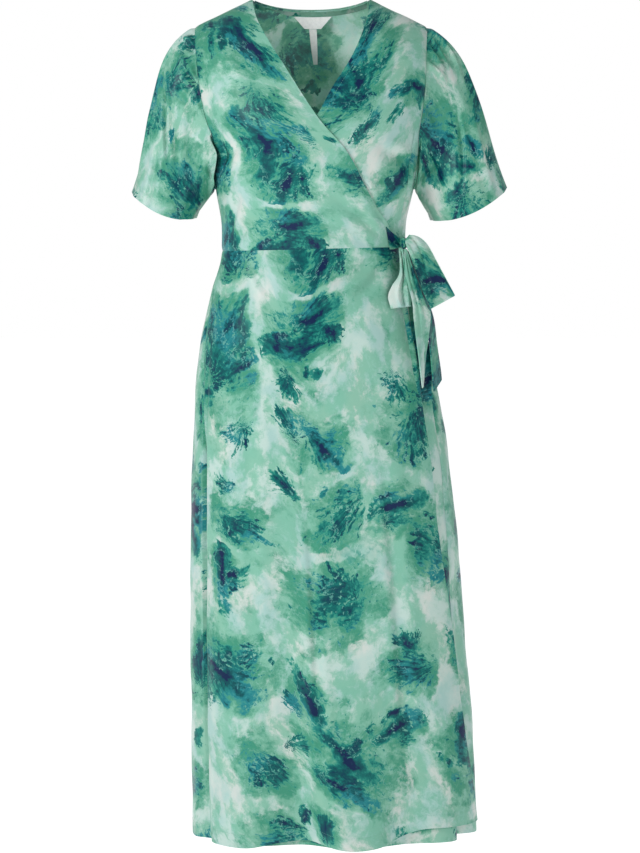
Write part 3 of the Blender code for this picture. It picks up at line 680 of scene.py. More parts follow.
@dataclass(frozen=True)
class Drape:
    """Creases listed for a round piece, and the slight waves of its cloth.

    The units turn places across and up the piece into metres.
    """

    creases: tuple[Crease, ...]
    across_unit: float
    up_unit: float
    whole_turn: float
    strength: float = 1.7
    companion: float = 0.34
    companion_place: float = 2.0
    steepness: float = 0.25
    end_share: float = 0.35
    wave_height: float = 0.0008
    waves: tuple[Wave, ...] = (
        Wave(1.0, 5, 19, 0.7, 0, 31, 1.3),
        Wave(0.8, 9, -13, 2.1, 0, 17, 0.4, 1.0),
        Wave(0.5, 16, 41, 4.0, -4, 53, 0.0),
    )

    def relief(self, across: Array, up: Array) -> Array:
        """Return how far the creases and waves push the cloth out.

        Args:
            across: places round the piece.
            up: places along it.

        Returns:
            The distance outwards, in metres.
        """
        total = self.unevenness(across * math.tau / self.whole_turn, up * self.up_unit)
        for crease in self.creases:
            total = total + self.crease_relief(crease, across, up)
        return total

    def unevenness(self, turn: Array, height: Array) -> Array:
        """Return the slight waves of hanging cloth.

        Args:
            turn: angles round the piece.
            height: metres up it.

        Returns:
            The distance outwards, in metres.
        """
        total = 0.0 * turn
        for wave in self.waves:
            ripple = np.sin(turn * wave.turns + height * wave.rise + wave.phase)
            bend = wave.twist * np.sin(turn * 3) + wave.cross_phase
            cross = np.sin(turn * wave.cross_turns + height * wave.cross_rise + bend)
            total = total + wave.strength * ripple * cross
        return total * self.wave_height

    def crease_relief(self, crease: Crease, across: Array, up: Array) -> Array:
        """Return one crease's push: its trough or ridge, with lower swellings beside it.

        Args:
            crease: the crease.
            across: places round the piece.
            up: places along it.

        Returns:
            The distance outwards, in metres.
        """
        half = self.whole_turn / 2
        run = np.array([(crease.across_end - crease.across_start) * self.across_unit,
                        (crease.up_end - crease.up_start) * self.up_unit])
        length = float(np.hypot(*run))
        along = run / length
        x = ((across - crease.across_start + half) % self.whole_turn - half) * self.across_unit
        y = (up - crease.up_start) * self.up_unit
        share = (x * along[0] + y * along[1]) / length
        held = np.clip(share, 0.0, 1.0)
        away = y * along[0] - x * along[1] - crease.bow * 4 * held * (1 - held)
        away = away * (1 + self.steepness * np.sign(away)) / crease.width
        profile = bell(away) - self.companion * bell(np.abs(away) - self.companion_place)
        ends = ease(share / self.end_share) * ease((1 - share) / self.end_share)
        return crease.depth * self.strength * profile * ends


@dataclass(frozen=True)
class DressForm:
    """The form that the cloth takes: a general figure's, worn and hollow.

    The armhole's marks are half the distance between the two seams over the height.
    """

    shoulder_tip: float = -0.039
    underarm: float = -0.265
    waist: float = -0.35
    waist_rise: float = 0.005
    hem: float = -1.166
    neck_half_width: float = 0.082
    shoulder_half_width: float = 0.1625
    neck_rise: float = 0.35
    shoulder_rounding: float = 0.06
    back_neck_drop: float = 0.011
    back_neck_power: float = 2.6
    fold_growth: float = 1.3
    tuck: float = 0.012
    tuck_height: float = -0.216
    tuck_reach: float = 0.028
    press_top: float = -0.186
    press_rise: float = 0.03
    press_foot: float = 0.018
    press_deep: float = 0.9
    press_depth_right: float = 0.04
    press_depth_left: float = 0.009
    press_inward: float = -0.3
    press_behind: float = 0.35
    press_swell: float = 0.22
    press_swell_place: float = 2.3
    sections: tuple[Section, ...] = table(Section, (
        (0.04, 0.0, 0.172, 0.04, 0.056, 2.4),
        (0.0, 0.0, 0.172, 0.052, 0.066, 2.4),
        (-0.06, 0.0, 0.172, 0.08, 0.09, 2.4),
        (-0.125, 0.002, 0.168, 0.107, 0.104, 2.4),
        (-0.19, 0.004, 0.154, 0.123, 0.107, 2.38),
        (-0.265, 0.005, 0.138, 0.12, 0.1, 2.32),
        (-0.31, 0.0042, 0.1288, 0.106, 0.091, 2.26),
        (-0.35, 0.0037, 0.1283, 0.095, 0.086, 2.22),
        (-0.403, 0.004, 0.141, 0.104, 0.098, 2.22),
        (-0.468, 0.0047, 0.1573, 0.112, 0.112, 2.24),
        (-0.535, 0.007, 0.168, 0.116, 0.121, 2.26),
        (-0.62, 0.0124, 0.1776, 0.118, 0.126, 2.28),
        (-0.755, 0.019, 0.187, 0.12, 0.128, 2.28),
        (-0.906, 0.025, 0.1935, 0.125, 0.13, 2.28),
        (-1.025, 0.03, 0.198, 0.131, 0.134, 2.28),
        (-1.18, 0.034, 0.2005, 0.138, 0.14, 2.28),
    ))
    armhole: tuple[Mark, ...] = table(Mark, (
        (-0.265, 0.138), (-0.235, 0.1405), (-0.2, 0.1445), (-0.165, 0.1508),
        (-0.127, 0.1568), (-0.084, 0.16), (-0.039, 0.1625),
    ))
    folds: tuple[Fold, ...] = table(Fold, (
        (-0.56, 130, 127, 24, 20, 0.013, True),
        (-0.74, 108, 105, 16, 10, -0.02, True),
        (-0.82, 100, 87, 7, 24, 0.018, True),
        (-0.78, 56, 59, 16, 15, -0.015, True),
        (-0.72, 16, 15, 13, 11, -0.036, False),
        (-0.45, 154, 155, 8, 8, -0.012, True),
        (-0.6, 200, 204, 15, 16, 0.012, True),
        (-0.7, 228, 232, 15, 15, -0.017, True),
        (-0.62, 258, 261, 16, 17, 0.014, True),
        (-0.72, 287, 290, 14, 15, -0.016, True),
        (-0.6, 318, 320, 16, 16, 0.012, True),
    ))

    @cached_property
    def columns(self) -> dict[str, Curve]:
        """Return the curves through the table of sections."""
        names = ("centre", "half_width", "front", "back", "power")
        return {name: Curve.of(self.sections, "height", name) for name in names}

    @cached_property
    def armhole_curve(self) -> Curve:
        """Return the curve through the table of armholes."""
        return Curve.of(self.armhole)

    def shoulder_line(self, x: Array) -> Array:
        """Return the height of the shoulder's top over x."""
        beyond = np.abs(x) - self.neck_half_width
        slope = self.shoulder_tip / (self.shoulder_half_width - self.neck_half_width)
        return np.where(beyond < 0, -self.neck_rise * beyond, slope * beyond)

    def back_neck(self, x: Array) -> Array:
        """Return the height of the back neck edge over x."""
        share = np.minimum(np.abs(x) / self.neck_half_width, 1.0)
        return -self.back_neck_drop * (1.0 - share ** self.back_neck_power)

    def waist_at(self, across: Array) -> Array:
        """Return the waist seam's height across the dress."""
        return self.waist + self.waist_rise * ease((across + 1.0) / 2.0)

    def armhole_x(self, height: Array, side: Side) -> Array:
        """Return the x of a side seam, or of the armhole seam above it, over the height."""
        half = self.columns["half_width"].at(height)
        reach = np.where(height <= self.underarm, half, self.armhole_curve.at(height))
        if side is Side.RIGHT:
            reach = reach - self.tuck * bell((height - self.tuck_height) / self.tuck_reach)
        return self.columns["centre"].at(height) + side * reach

    def armhole_height(self, turn: Array) -> Array:
        """Return heights round an armhole seam, where 0 is the shoulder and half a turn the underarm."""
        reach = self.shoulder_tip - self.underarm
        return (self.shoulder_tip + self.underarm + reach * np.cos(turn)) / 2

    def angle(self, x: Array, height: Array) -> Array:
        """Return the angle in front at which the form crosses x."""
        across = (x - self.columns["centre"].at(height)) / self.columns["half_width"].at(height)
        return np.arccos(np.clip(across, -1.0, 1.0))

    def place(self, x: Array, height: Array, behind: bool = False) -> Array:
        """Return the angles and heights of points in front, or behind, that are given by x."""
        angle = self.angle(x, height)
        return np.stack([math.tau - angle if behind else angle, height], axis=-1)

    def side_line(self, side: Side, v: Array, behind: bool = False) -> Array:
        """Return a side seam and the armhole above it, over shares of the way up."""
        height = mix(self.waist_at(float(side)), self.shoulder_tip, v)
        return self.place(self.armhole_x(height, side), height, behind)

    def waist_line(self, start: float, end: float, u: Array) -> Array:
        """Return the waist seam from one angle to another."""
        angle = mix(start, end, u)
        return np.stack([angle, self.waist_at(np.cos(angle))], axis=-1)

    def fold_depth(self, angle: Array, height: Array, under: bool) -> Array:
        """Return how far the skirt's folds push the cloth out.

        Args:
            angle: angles round the dress in degrees.
            height: heights.
            under: whether the cloth hangs below the over front.

        Returns:
            The distance outwards.
        """
        total = np.zeros_like(angle)
        for fold in self.folds:
            if not (under or fold.outer):
                continue
            growth = np.clip((fold.start - height) / (fold.start - self.hem), 0.0, None)
            middle = mix(fold.angle_top, fold.angle_hem, growth)
            away = (angle - middle + 180.0) % 360.0 - 180.0
            spread = np.where(away > 0, fold.spread_up, fold.spread_down)
            hill = np.where(np.abs(away) < spread * 2, np.cos(math.pi * away / (spread * 4)) ** 4, 0.0)
            total += fold.depth * growth ** self.fold_growth * hill
        return total

    def armpit_press(self, height: Array, away: Array, side: Side, back: Array | float) -> Array:
        """Return how the cloth is drawn in beside the lower part of an armhole.

        Args:
            height: the height of the nearest point of the seam.
            away: the distance from the seam, as a share of the reach.
            side: the side of the dress.
            back: 1 behind and -1 in front.

        Returns:
            The moves, with x, y and z along the last axis.
        """
        level = ease((self.press_top - height) / self.press_rise)
        level = level * ease((height - self.underarm) / self.press_foot)
        depth = self.press_depth_right if side is Side.RIGHT else self.press_depth_left
        near = depth * (bell(away) - self.press_swell * bell(away - self.press_swell_place))
        near = near * np.where(np.asarray(back) > 0, self.press_behind, 1.0)
        x = -side * self.press_inward * level * near
        return np.stack([x, -back * self.press_deep * level * near, 0.0 * x], axis=-1)

    def points(self, angle: Array, height: Array, under: bool = True) -> Array:
        """Return points of the dress's outer form.

        Args:
            angle: angles in radians: 0 right, a quarter turn front, half a turn left.
            height: heights, of the same shape.
            under: whether the cloth hangs below the over front.

        Returns:
            The points, with x, y and z along the last axis.
        """
        across = np.cos(angle)
        half = self.columns["half_width"].at(height)
        front = self.columns["front"].at(height)
        power = self.columns["power"].at(height)
        x = self.columns["centre"].at(height) + half * across
        reach = np.maximum(1.0 - np.minimum(np.abs(across), 1.0) ** power, 0.0) ** (1.0 / power)
        y = np.where(np.sin(angle) >= 0, -front * reach, self.columns["back"].at(height) * reach)
        rounding = np.clip((self.shoulder_line(x) - height) / self.shoulder_rounding, 0.0, 1.0)
        y = y * np.sqrt(1.0 - (1.0 - rounding) ** 2)
        out = np.stack([across / half, -np.sin(angle) / front], axis=-1)
        out /= np.linalg.norm(out, axis=-1, keepdims=True)
        push = self.fold_depth(np.degrees(angle) % 360.0, height, under) * (height < self.waist)
        return np.stack([x + out[..., 0] * push, y + out[..., 1] * push, height], axis=-1)


class Edge(Enum):
    """The four edges of a piece's grid."""

    FOOT = "foot"
    HEAD = "head"
    FIRST = "first"
    LAST = "last"


def close_round(grid: Array) -> Array:
    """Return a grid with its first column once more at its end."""
    return np.concatenate([grid, grid[:, :1]], axis=1)


def quads(grid: Array) -> list[Array]:
    """Return the four corners of every quad of a grid."""
    return [grid[:-1, :-1], grid[:-1, 1:], grid[1:, 1:], grid[1:, :-1]]


class Cloth:
    """A sewn piece as a grid of points: rows run up, columns run so that it faces outwards."""

    def __init__(self, points: Array, closed: bool = False) -> None:
        """Keep the outer side.

        Args:
            points: rows, columns and x, y, z.
            closed: whether the last column meets the first.
        """
        self.points = points
        self.closed = closed
        self.cut = self.lay_flat()

    @property
    def ring(self) -> Array:
        """Return the points, with the first column again at the end of a closed piece."""
        return close_round(self.points) if self.closed else self.points

    def normals(self) -> Array:
        """Return the outward normals."""
        across = np.gradient(self.points, axis=1)
        if self.closed:
            across = np.roll(self.points, -1, axis=1) - np.roll(self.points, 1, axis=1)
        return unit(np.cross(across, np.gradient(self.points, axis=0)))

    def push(self, distance: Array) -> None:
        """Move the points along their normals."""
        self.points = self.points + self.normals() * distance[..., None]

    def lay_flat(self) -> Array:
        """Return the place of each point on the cut cloth, in metres, from its middle column's foot.

        Returns:
            Rows, columns and u, v; a closed piece has one more column, where its seam is.
        """
        ring = self.ring
        across = np.linalg.norm(np.diff(ring, axis=1), axis=-1)
        u = np.concatenate([np.zeros((len(ring), 1)), np.cumsum(across, axis=1)], axis=1)
        u -= u[:, u.shape[1] // 2][:, None]
        up = np.linalg.norm(np.diff(ring, axis=0), axis=-1)
        v = np.concatenate([np.zeros((1, ring.shape[1])), np.cumsum(up, axis=0)], axis=0)
        return np.stack([u, v], axis=-1)

    def place_on_cloth(self, cutting: "Cutting") -> None:
        """Choose where on the printed cloth the piece is cut."""
        c, s = math.cos(math.radians(cutting.turn)), math.sin(math.radians(cutting.turn))
        self.cut = self.cut @ np.array([[c, s], [-s, c]]) + np.array((cutting.across, cutting.along))

    def from_edge(self, edge: Edge) -> Array:
        """Return each point's distance from an edge, along the cloth.

        Args:
            edge: the edge.

        Returns:
            The distances, one for each point of the grid.
        """
        flat = self.lay_flat()
        if self.closed:
            flat = flat[:, :-1]
        across, up = flat[..., 0], flat[..., 1]
        return {Edge.FOOT: up, Edge.HEAD: up[-1:] - up, Edge.FIRST: across - across[:, :1],
                Edge.LAST: across[:, -1:] - across}[edge]

    def sink(self, edge: Edge, depth: float = 0.0013, reach: float = 0.0032) -> None:
        """Draw the cloth in beside a seam."""
        self.push(-depth * bell(self.from_edge(edge) / reach))

    def flat_size(self) -> Point:
        """Return the cut's size.

        Returns:
            Its width, its length square to the width, and its area.
        """
        flat, ring = self.lay_flat(), self.ring
        width = float(flat[..., 0].max() - flat[..., 0].min())
        across, up = ring[:-1, 1:] - ring[:-1, :-1], ring[1:, :-1] - ring[:-1, :-1]
        areas = np.linalg.norm(np.cross(across, up), axis=-1)
        length = float((areas / np.linalg.norm(across, axis=-1)).sum(axis=0).max())
        return width, length, min(float(areas.sum()), width * length)

    def line_beside(self, edge: Edge, distance: float) -> Array:
        """Return the points that lie a distance in from an edge.

        Args:
            edge: the edge.
            distance: how far in from it, in metres.

        Returns:
            The points, a little above the cloth, in order along the edge.
        """
        away = self.from_edge(edge)
        lifted = self.points + self.normals() * STITCH_LIFT
        if edge in (Edge.FIRST, Edge.LAST):
            away, lifted = away.T, lifted.transpose(1, 0, 2)
        if edge in (Edge.HEAD, Edge.LAST):
            away, lifted = away[::-1], lifted[::-1]
        found = []
        for column in range(away.shape[1]):
            row = int(np.searchsorted(away[:, column], distance))
            row = min(max(row, 1), len(away) - 1)
            low, high = away[row - 1, column], away[row, column]
            share = (distance - low) / max(high - low, TINY)
            found.append(mix(lifted[row - 1, column], lifted[row, column], min(share, 1.0)))
        return np.array(found)

    def build(self, name: str, thickness: Array | float, outside: Material,
              inside: Material) -> bpy.types.Object:
        """Return the piece as a thin closed wall with its cut as a UV map.

        Args:
            name: the object's name.
            thickness: the cloth's thickness, for all or for each point.
            outside: the material of the right side and of the edges.
            inside: the material of the reverse.

        Returns:
            The object.
        """
        shape = self.points.shape[:2]
        inner = self.points - self.normals() * np.broadcast_to(thickness, shape)[..., None]
        count = shape[0] * shape[1]
        index = np.arange(count).reshape(shape)
        cut_index = np.arange(self.cut.shape[0] * self.cut.shape[1]).reshape(self.cut.shape[:2])
        faces, cuts, sides = [], [], []
        if self.closed:
            index = close_round(index)

        def add(corners: Sequence[Array], cut_corners: Sequence[Array], side: int) -> None:
            """Keep a run of quads with their places on the cut and their side."""
            faces.append(np.stack(corners, axis=-1).reshape(-1, 4))
            cuts.append(np.stack(cut_corners, axis=-1).reshape(-1, 4))
            sides.append(np.full(len(faces[-1]), side))

        add(quads(index), quads(cut_index), 0)
        add(quads(index + count)[::-1], quads(cut_index)[::-1], 1)
        rims = [(index[0], cut_index[0]), (index[-1, ::-1], cut_index[-1, ::-1])]
        if not self.closed:
            rims += [(index[::-1, 0], cut_index[::-1, 0]), (index[:, -1], cut_index[:, -1])]
        for rim, cut_rim in rims:
            add([rim[1:], rim[:-1], rim[:-1] + count, rim[1:] + count],
                [cut_rim[1:], cut_rim[:-1], cut_rim[:-1], cut_rim[1:]], 0)
        points = np.concatenate([self.points.reshape(-1, 3), inner.reshape(-1, 3)])
        return make_object(name, points, np.concatenate(faces), (outside, inside),
                           self.cut.reshape(-1, 2)[np.concatenate(cuts)], np.concatenate(sides))


def add_object(name: str, data: bpy.types.ID) -> bpy.types.Object:
    """Return a new object of the scene that holds a mesh, a camera or a light."""
    item = bpy.data.objects.new(name, data)
    bpy.context.scene.collection.objects.link(item)
    return item


def make_object(name: str, points: Array, faces: Array, materials: Iterable[Material],
                cuts: Array | None = None, sides: Array | None = None) -> bpy.types.Object:
    """Return a smooth-shaded mesh object.

    Args:
        name: its name.
        points: its points.
        faces: its faces, as indices of points.
        materials: its materials.
        cuts: each face corner's place on the cut cloth.
        sides: each face's material.

    Returns:
        The object, linked to the scene.
    """
    mesh = bpy.data.meshes.new(name)
    mesh.from_pydata(points.tolist(), [], [list(face) for face in faces])
    for material in materials:
        mesh.materials.append(material)
    if cuts is not None:
        mesh.uv_layers.new(name=CUT_MAP).data.foreach_set("uv", cuts.astype(np.float32).ravel())
    if sides is not None:
        mesh.polygons.foreach_set("material_index", sides.astype(np.int32))
    mesh.shade_smooth()
    mesh.set_sharp_from_angle(angle=SHARP_RIM)
    return add_object(name, mesh)


@dataclass(frozen=True)
class Finishes:
    """The materials that the pieces take, and what sews their stitches."""

    right_side: Material
    reverse: Material
    thread: Material
    label: Material
    label_thread: Material
    stitching: "Stitching"


@dataclass(frozen=True)
class Cutting:
    """Where on the printed cloth a piece is cut: the place of its middle foot and its turn."""

    across: float
    along: float
    turn: float = 0.0


def carry(piece: bpy.types.Object, node: str, slot: Slot) -> None:
    """Let a piece stand for its node, on the dress's one body."""
    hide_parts(node)
    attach(piece, "root")


def finish_sheet(cloth: Cloth, name: str, thickness: Array | float, cutting: Cutting,
                 finishes: Finishes, held: Held,
                 slot: Slot = Slot.CLOTH) -> None:
    """Build a sewn piece, let it stand for its node and log its cut's size.

    Args:
        cloth: the piece's grid.
        name: the node that it stands for.
        thickness: the cloth's thickness.
        cutting: where on the printed cloth it is cut.
        finishes: the materials.
        held: how the cloth is held; not used.
        slot: the record's material; not used.
    """
    width, length, area = cloth.flat_size()
    cloth.place_on_cloth(cutting)
    piece = cloth.build(name + "_cloth", thickness, finishes.right_side, finishes.reverse)
    carry(piece, name, slot)
    log.info("%s: cut %.3f x %.3f m, %.4f m2", name, width, length, area)


@dataclass(frozen=True)
class Turning:
    """A turned and stitched edge: its depth and thickness, and how suddenly it ends."""

    depth: float
    thickness: float
    sharpness: float = 6.0
    stitch_inset: float = 0.001

    def share(self, cloth: Cloth, edge: Edge) -> Array:
        """Return where the cloth is turned along an edge, from 0 to 1."""
        return ease((1.0 - cloth.from_edge(edge) / self.depth) * self.sharpness)

    def stitch_line(self, cloth: Cloth, edge: Edge) -> Array:
        """Return the line of its stitches."""
        return cloth.line_beside(edge, self.depth - self.stitch_inset)


Line = Callable[[Array], Array]


def patch(left: Line, right: Line, low: Line, high: Line, u: Array, v: Array) -> Array:
    """Return the inside of a patch whose four edges are given.

    Args:
        left: the left edge's points over 0 to 1, upwards.
        right: the right edge's points.
        low: the lower edge's points, from left to right.
        high: the upper edge's points.
        u: shares across.
        v: shares up.

    Returns:
        The points: rows, columns and values.
    """
    ends = np.array([0.0, 1.0])
    across, up = u[None, :, None], v[:, None, None]
    value = mix(left(v)[:, None], right(v)[:, None], across) + mix(low(u)[None], high(u)[None], up)
    bottom = mix(left(ends)[0], right(ends)[0], across)
    top = mix(left(ends)[1], right(ends)[1], across)
    return value - mix(bottom, top, up)


@dataclass(frozen=True)
class Bodice:
    """The back and the two crossing fronts, down to the waist seam.

    The edges' marks are their x over the height.
    """

    form: DressForm
    drape: Drape
    over_edge: tuple[Mark, ...] = table(Mark, (
        (0.0, -0.082), (-0.036, -0.072), (-0.0955, -0.0371), (-0.1686, 0.0096),
        (-0.2137, 0.048), (-0.2637, 0.0755), (-0.2937, 0.092), (-0.3165, 0.106),
        (-0.35, 0.112),
    ))
    under_edge: tuple[Mark, ...] = table(Mark, (
        (0.0, 0.082), (-0.031, 0.077), (-0.0805, 0.0575), (-0.1275, 0.0288),
        (-0.1686, 0.006), (-0.22, -0.034), (-0.27, -0.069), (-0.3165, -0.097),
        (-0.35, -0.108),
    ))
    crossing_reach: float = 0.87
    crowding: float = 1.3
    over_lift: float = 0.0022
    under_sink: float = 0.0014
    lift_reach: float = 0.35
    sink_reach: float = 0.3
    fade_start: float = 0.85
    armhole_fade_reach: float = 0.25
    armhole_fade_rise: float = 0.05
    columns: int = 110
    back_columns: int = 150
    rows: int = 120
    thickness: float = 0.001
    neck_turning: Turning = Turning(0.008, 0.0017, 1.0, 0.0)
    neck_corner: float = 0.26
    level_beside_armhole: float = 0.022
    level_below_shoulder: float = 0.015
    press_reach: float = 0.005
    back_cutting: Cutting = Cutting(0.404, 0.692)
    over_cutting: Cutting = Cutting(0.392, 1.916)
    under_cutting: Cutting = Cutting(1.592, 0.176)

    def lift_at(self, side: Side, across: Array) -> Array:
        """Return how far a front lies off the form: the over one outside it, the under one inside."""
        if side is Side.RIGHT:
            return self.over_lift * ease((across + 1.0) / self.lift_reach)
        return -self.under_sink * ease((1.0 - across) / self.sink_reach)

    def steps_up(self) -> Array:
        """Return the rows' shares of the way up, which lie closer together near the top."""
        return 1.0 - (1.0 - np.linspace(0.0, 1.0, self.rows)) ** self.crowding

    def front(self, side: Side) -> Cloth:
        """Return one crossing front.

        Args:
            side: right for the over front and left for the under front.

        Returns:
            The front's grid.
        """
        form, over = self.form, side is Side.RIGHT
        neck = Curve.of(self.over_edge if over else self.under_edge)
        foot = form.waist_at(-side * self.crossing_reach)

        def seam(v: Array) -> Array:
            """Return the side seam and armhole, upwards."""
            return form.side_line(side, v)

        def free(v: Array) -> Array:
            """Return the crossing neck edge, upwards."""
            height = mix(foot, 0.0, v)
            return form.place(neck.at(height), height)

        def shoulder(u: Array) -> Array:
            """Return the shoulder seam, from left to right."""
            x = mix(side * form.shoulder_half_width, side * form.neck_half_width, u if over else 1 - u)
            return form.place(x, form.shoulder_line(x))

        left, right = (seam, free) if over else (free, seam)
        ends = np.array([0.0, 1.0])

        def waist(u: Array) -> Array:
            """Return the waist seam, from left to right."""
            return form.waist_line(left(ends)[0, 0], right(ends)[0, 0], u)

        u = np.linspace(0.0, 1.0, self.columns)
        cells = patch(left, right, waist, shoulder, u, self.steps_up())
        angle, height = cells[..., 0], cells[..., 1]
        cloth = Cloth(form.points(angle, height))
        up = np.linspace(0.0, 1.0, self.rows)[:, None]
        fade = 1.0 - ease((up - self.fade_start) / (1.0 - self.fade_start))
        near = ease((u if over else 1 - u)[None, :] / self.armhole_fade_reach)
        armhole = mix(1.0, near, ease((height - form.underarm) / self.armhole_fade_rise))
        cloth.push(self.lift_at(side, np.cos(angle)) * fade * armhole)
        self.crease(cloth, angle, height, {Edge.FIRST if over else Edge.LAST: side})
        return cloth

    def crease(self, cloth: Cloth, angle: Array, height: Array, sides: dict[Edge, Side]) -> None:
        """Put the drape's creases on a panel, level out at its armholes, and sink its seams.

        Args:
            cloth: the panel.
            angle: its points' angles in radians.
            height: their heights.
            sides: the edges that hold a side seam and an armhole, with their sides.
        """
        relief = self.drape.relief(np.degrees(angle) % 360.0, height)
        for edge in sides:
            relief = relief * ease(cloth.from_edge(edge) / self.level_beside_armhole)
        cloth.push(relief * ease(cloth.from_edge(Edge.HEAD) / self.level_below_shoulder))
        back = 1.0 if len(sides) > 1 else -1.0
        for edge, side in sides.items():
            away = cloth.from_edge(edge) / self.press_reach
            cloth.points = cloth.points + self.form.armpit_press(height, away, side, back)
        for seam in (Edge.FOOT, Edge.HEAD, *sides):
            cloth.sink(seam)

    def back(self) -> Cloth:
        """Return the back, cut in one piece.

        Returns:
            The back's grid, whose first column is the left side seam.
        """
        form, corner = self.form, self.neck_corner
        wide, narrow = form.shoulder_half_width, form.neck_half_width

        def seam(side: Side) -> Line:
            """Return the side seam and armhole of one side, upwards."""
            return lambda v: form.side_line(side, v, behind=True)

        def waist(u: Array) -> Array:
            """Return the waist seam."""
            return form.waist_line(math.tau, math.pi, u)

        def top(u: Array) -> Array:
            """Return the shoulder seams and the neck between them."""
            x = np.interp(u, (0.0, corner, 1 - corner, 1.0), (wide, narrow, -narrow, -wide))
            height = np.where(np.abs(x) >= narrow, form.shoulder_line(x), form.back_neck(x))
            return form.place(x, height, behind=True)

        u = np.linspace(0.0, 1.0, self.back_columns)
        cells = patch(seam(Side.LEFT), seam(Side.RIGHT), waist, top, u, self.steps_up())
        cloth = Cloth(form.points(cells[..., 0], cells[..., 1]))
        self.crease(cloth, cells[..., 0], cells[..., 1], {Edge.FIRST: Side.LEFT, Edge.LAST: Side.RIGHT})
        return cloth

    def build(self, finishes: Finishes) -> None:
        """Build the three panels and their sewing.

        Args:
            finishes: the materials and the stitching.
        """
        finish_sheet(self.back(), "back_bodice", self.thickness, self.back_cutting, finishes,
                     Held.DRAPED)
        lines = []
        for side, name, cutting, free in (
            (Side.RIGHT, "front_bodice_over", self.over_cutting, Edge.LAST),
            (Side.LEFT, "front_bodice_under", self.under_cutting, Edge.FIRST),
        ):
            front, turning = self.front(side), self.neck_turning
            thickness = mix(self.thickness, turning.thickness, turning.share(front, free))
            lines.append(turning.stitch_line(front, free))
            finish_sheet(front, name, thickness, cutting, finishes, Held.DRAPED)
        finishes.stitching.sew("neck_edge_stitches", lines, finishes.thread)


@dataclass(frozen=True)
class Cuff:
    """A sleeve's lower edge: its ends, its half depth, and how far it bows down and leans."""

    outer_x: float
    outer_z: float
    inner_x: float
    inner_z: float
    half_depth: float
    bow: float
    lean: float


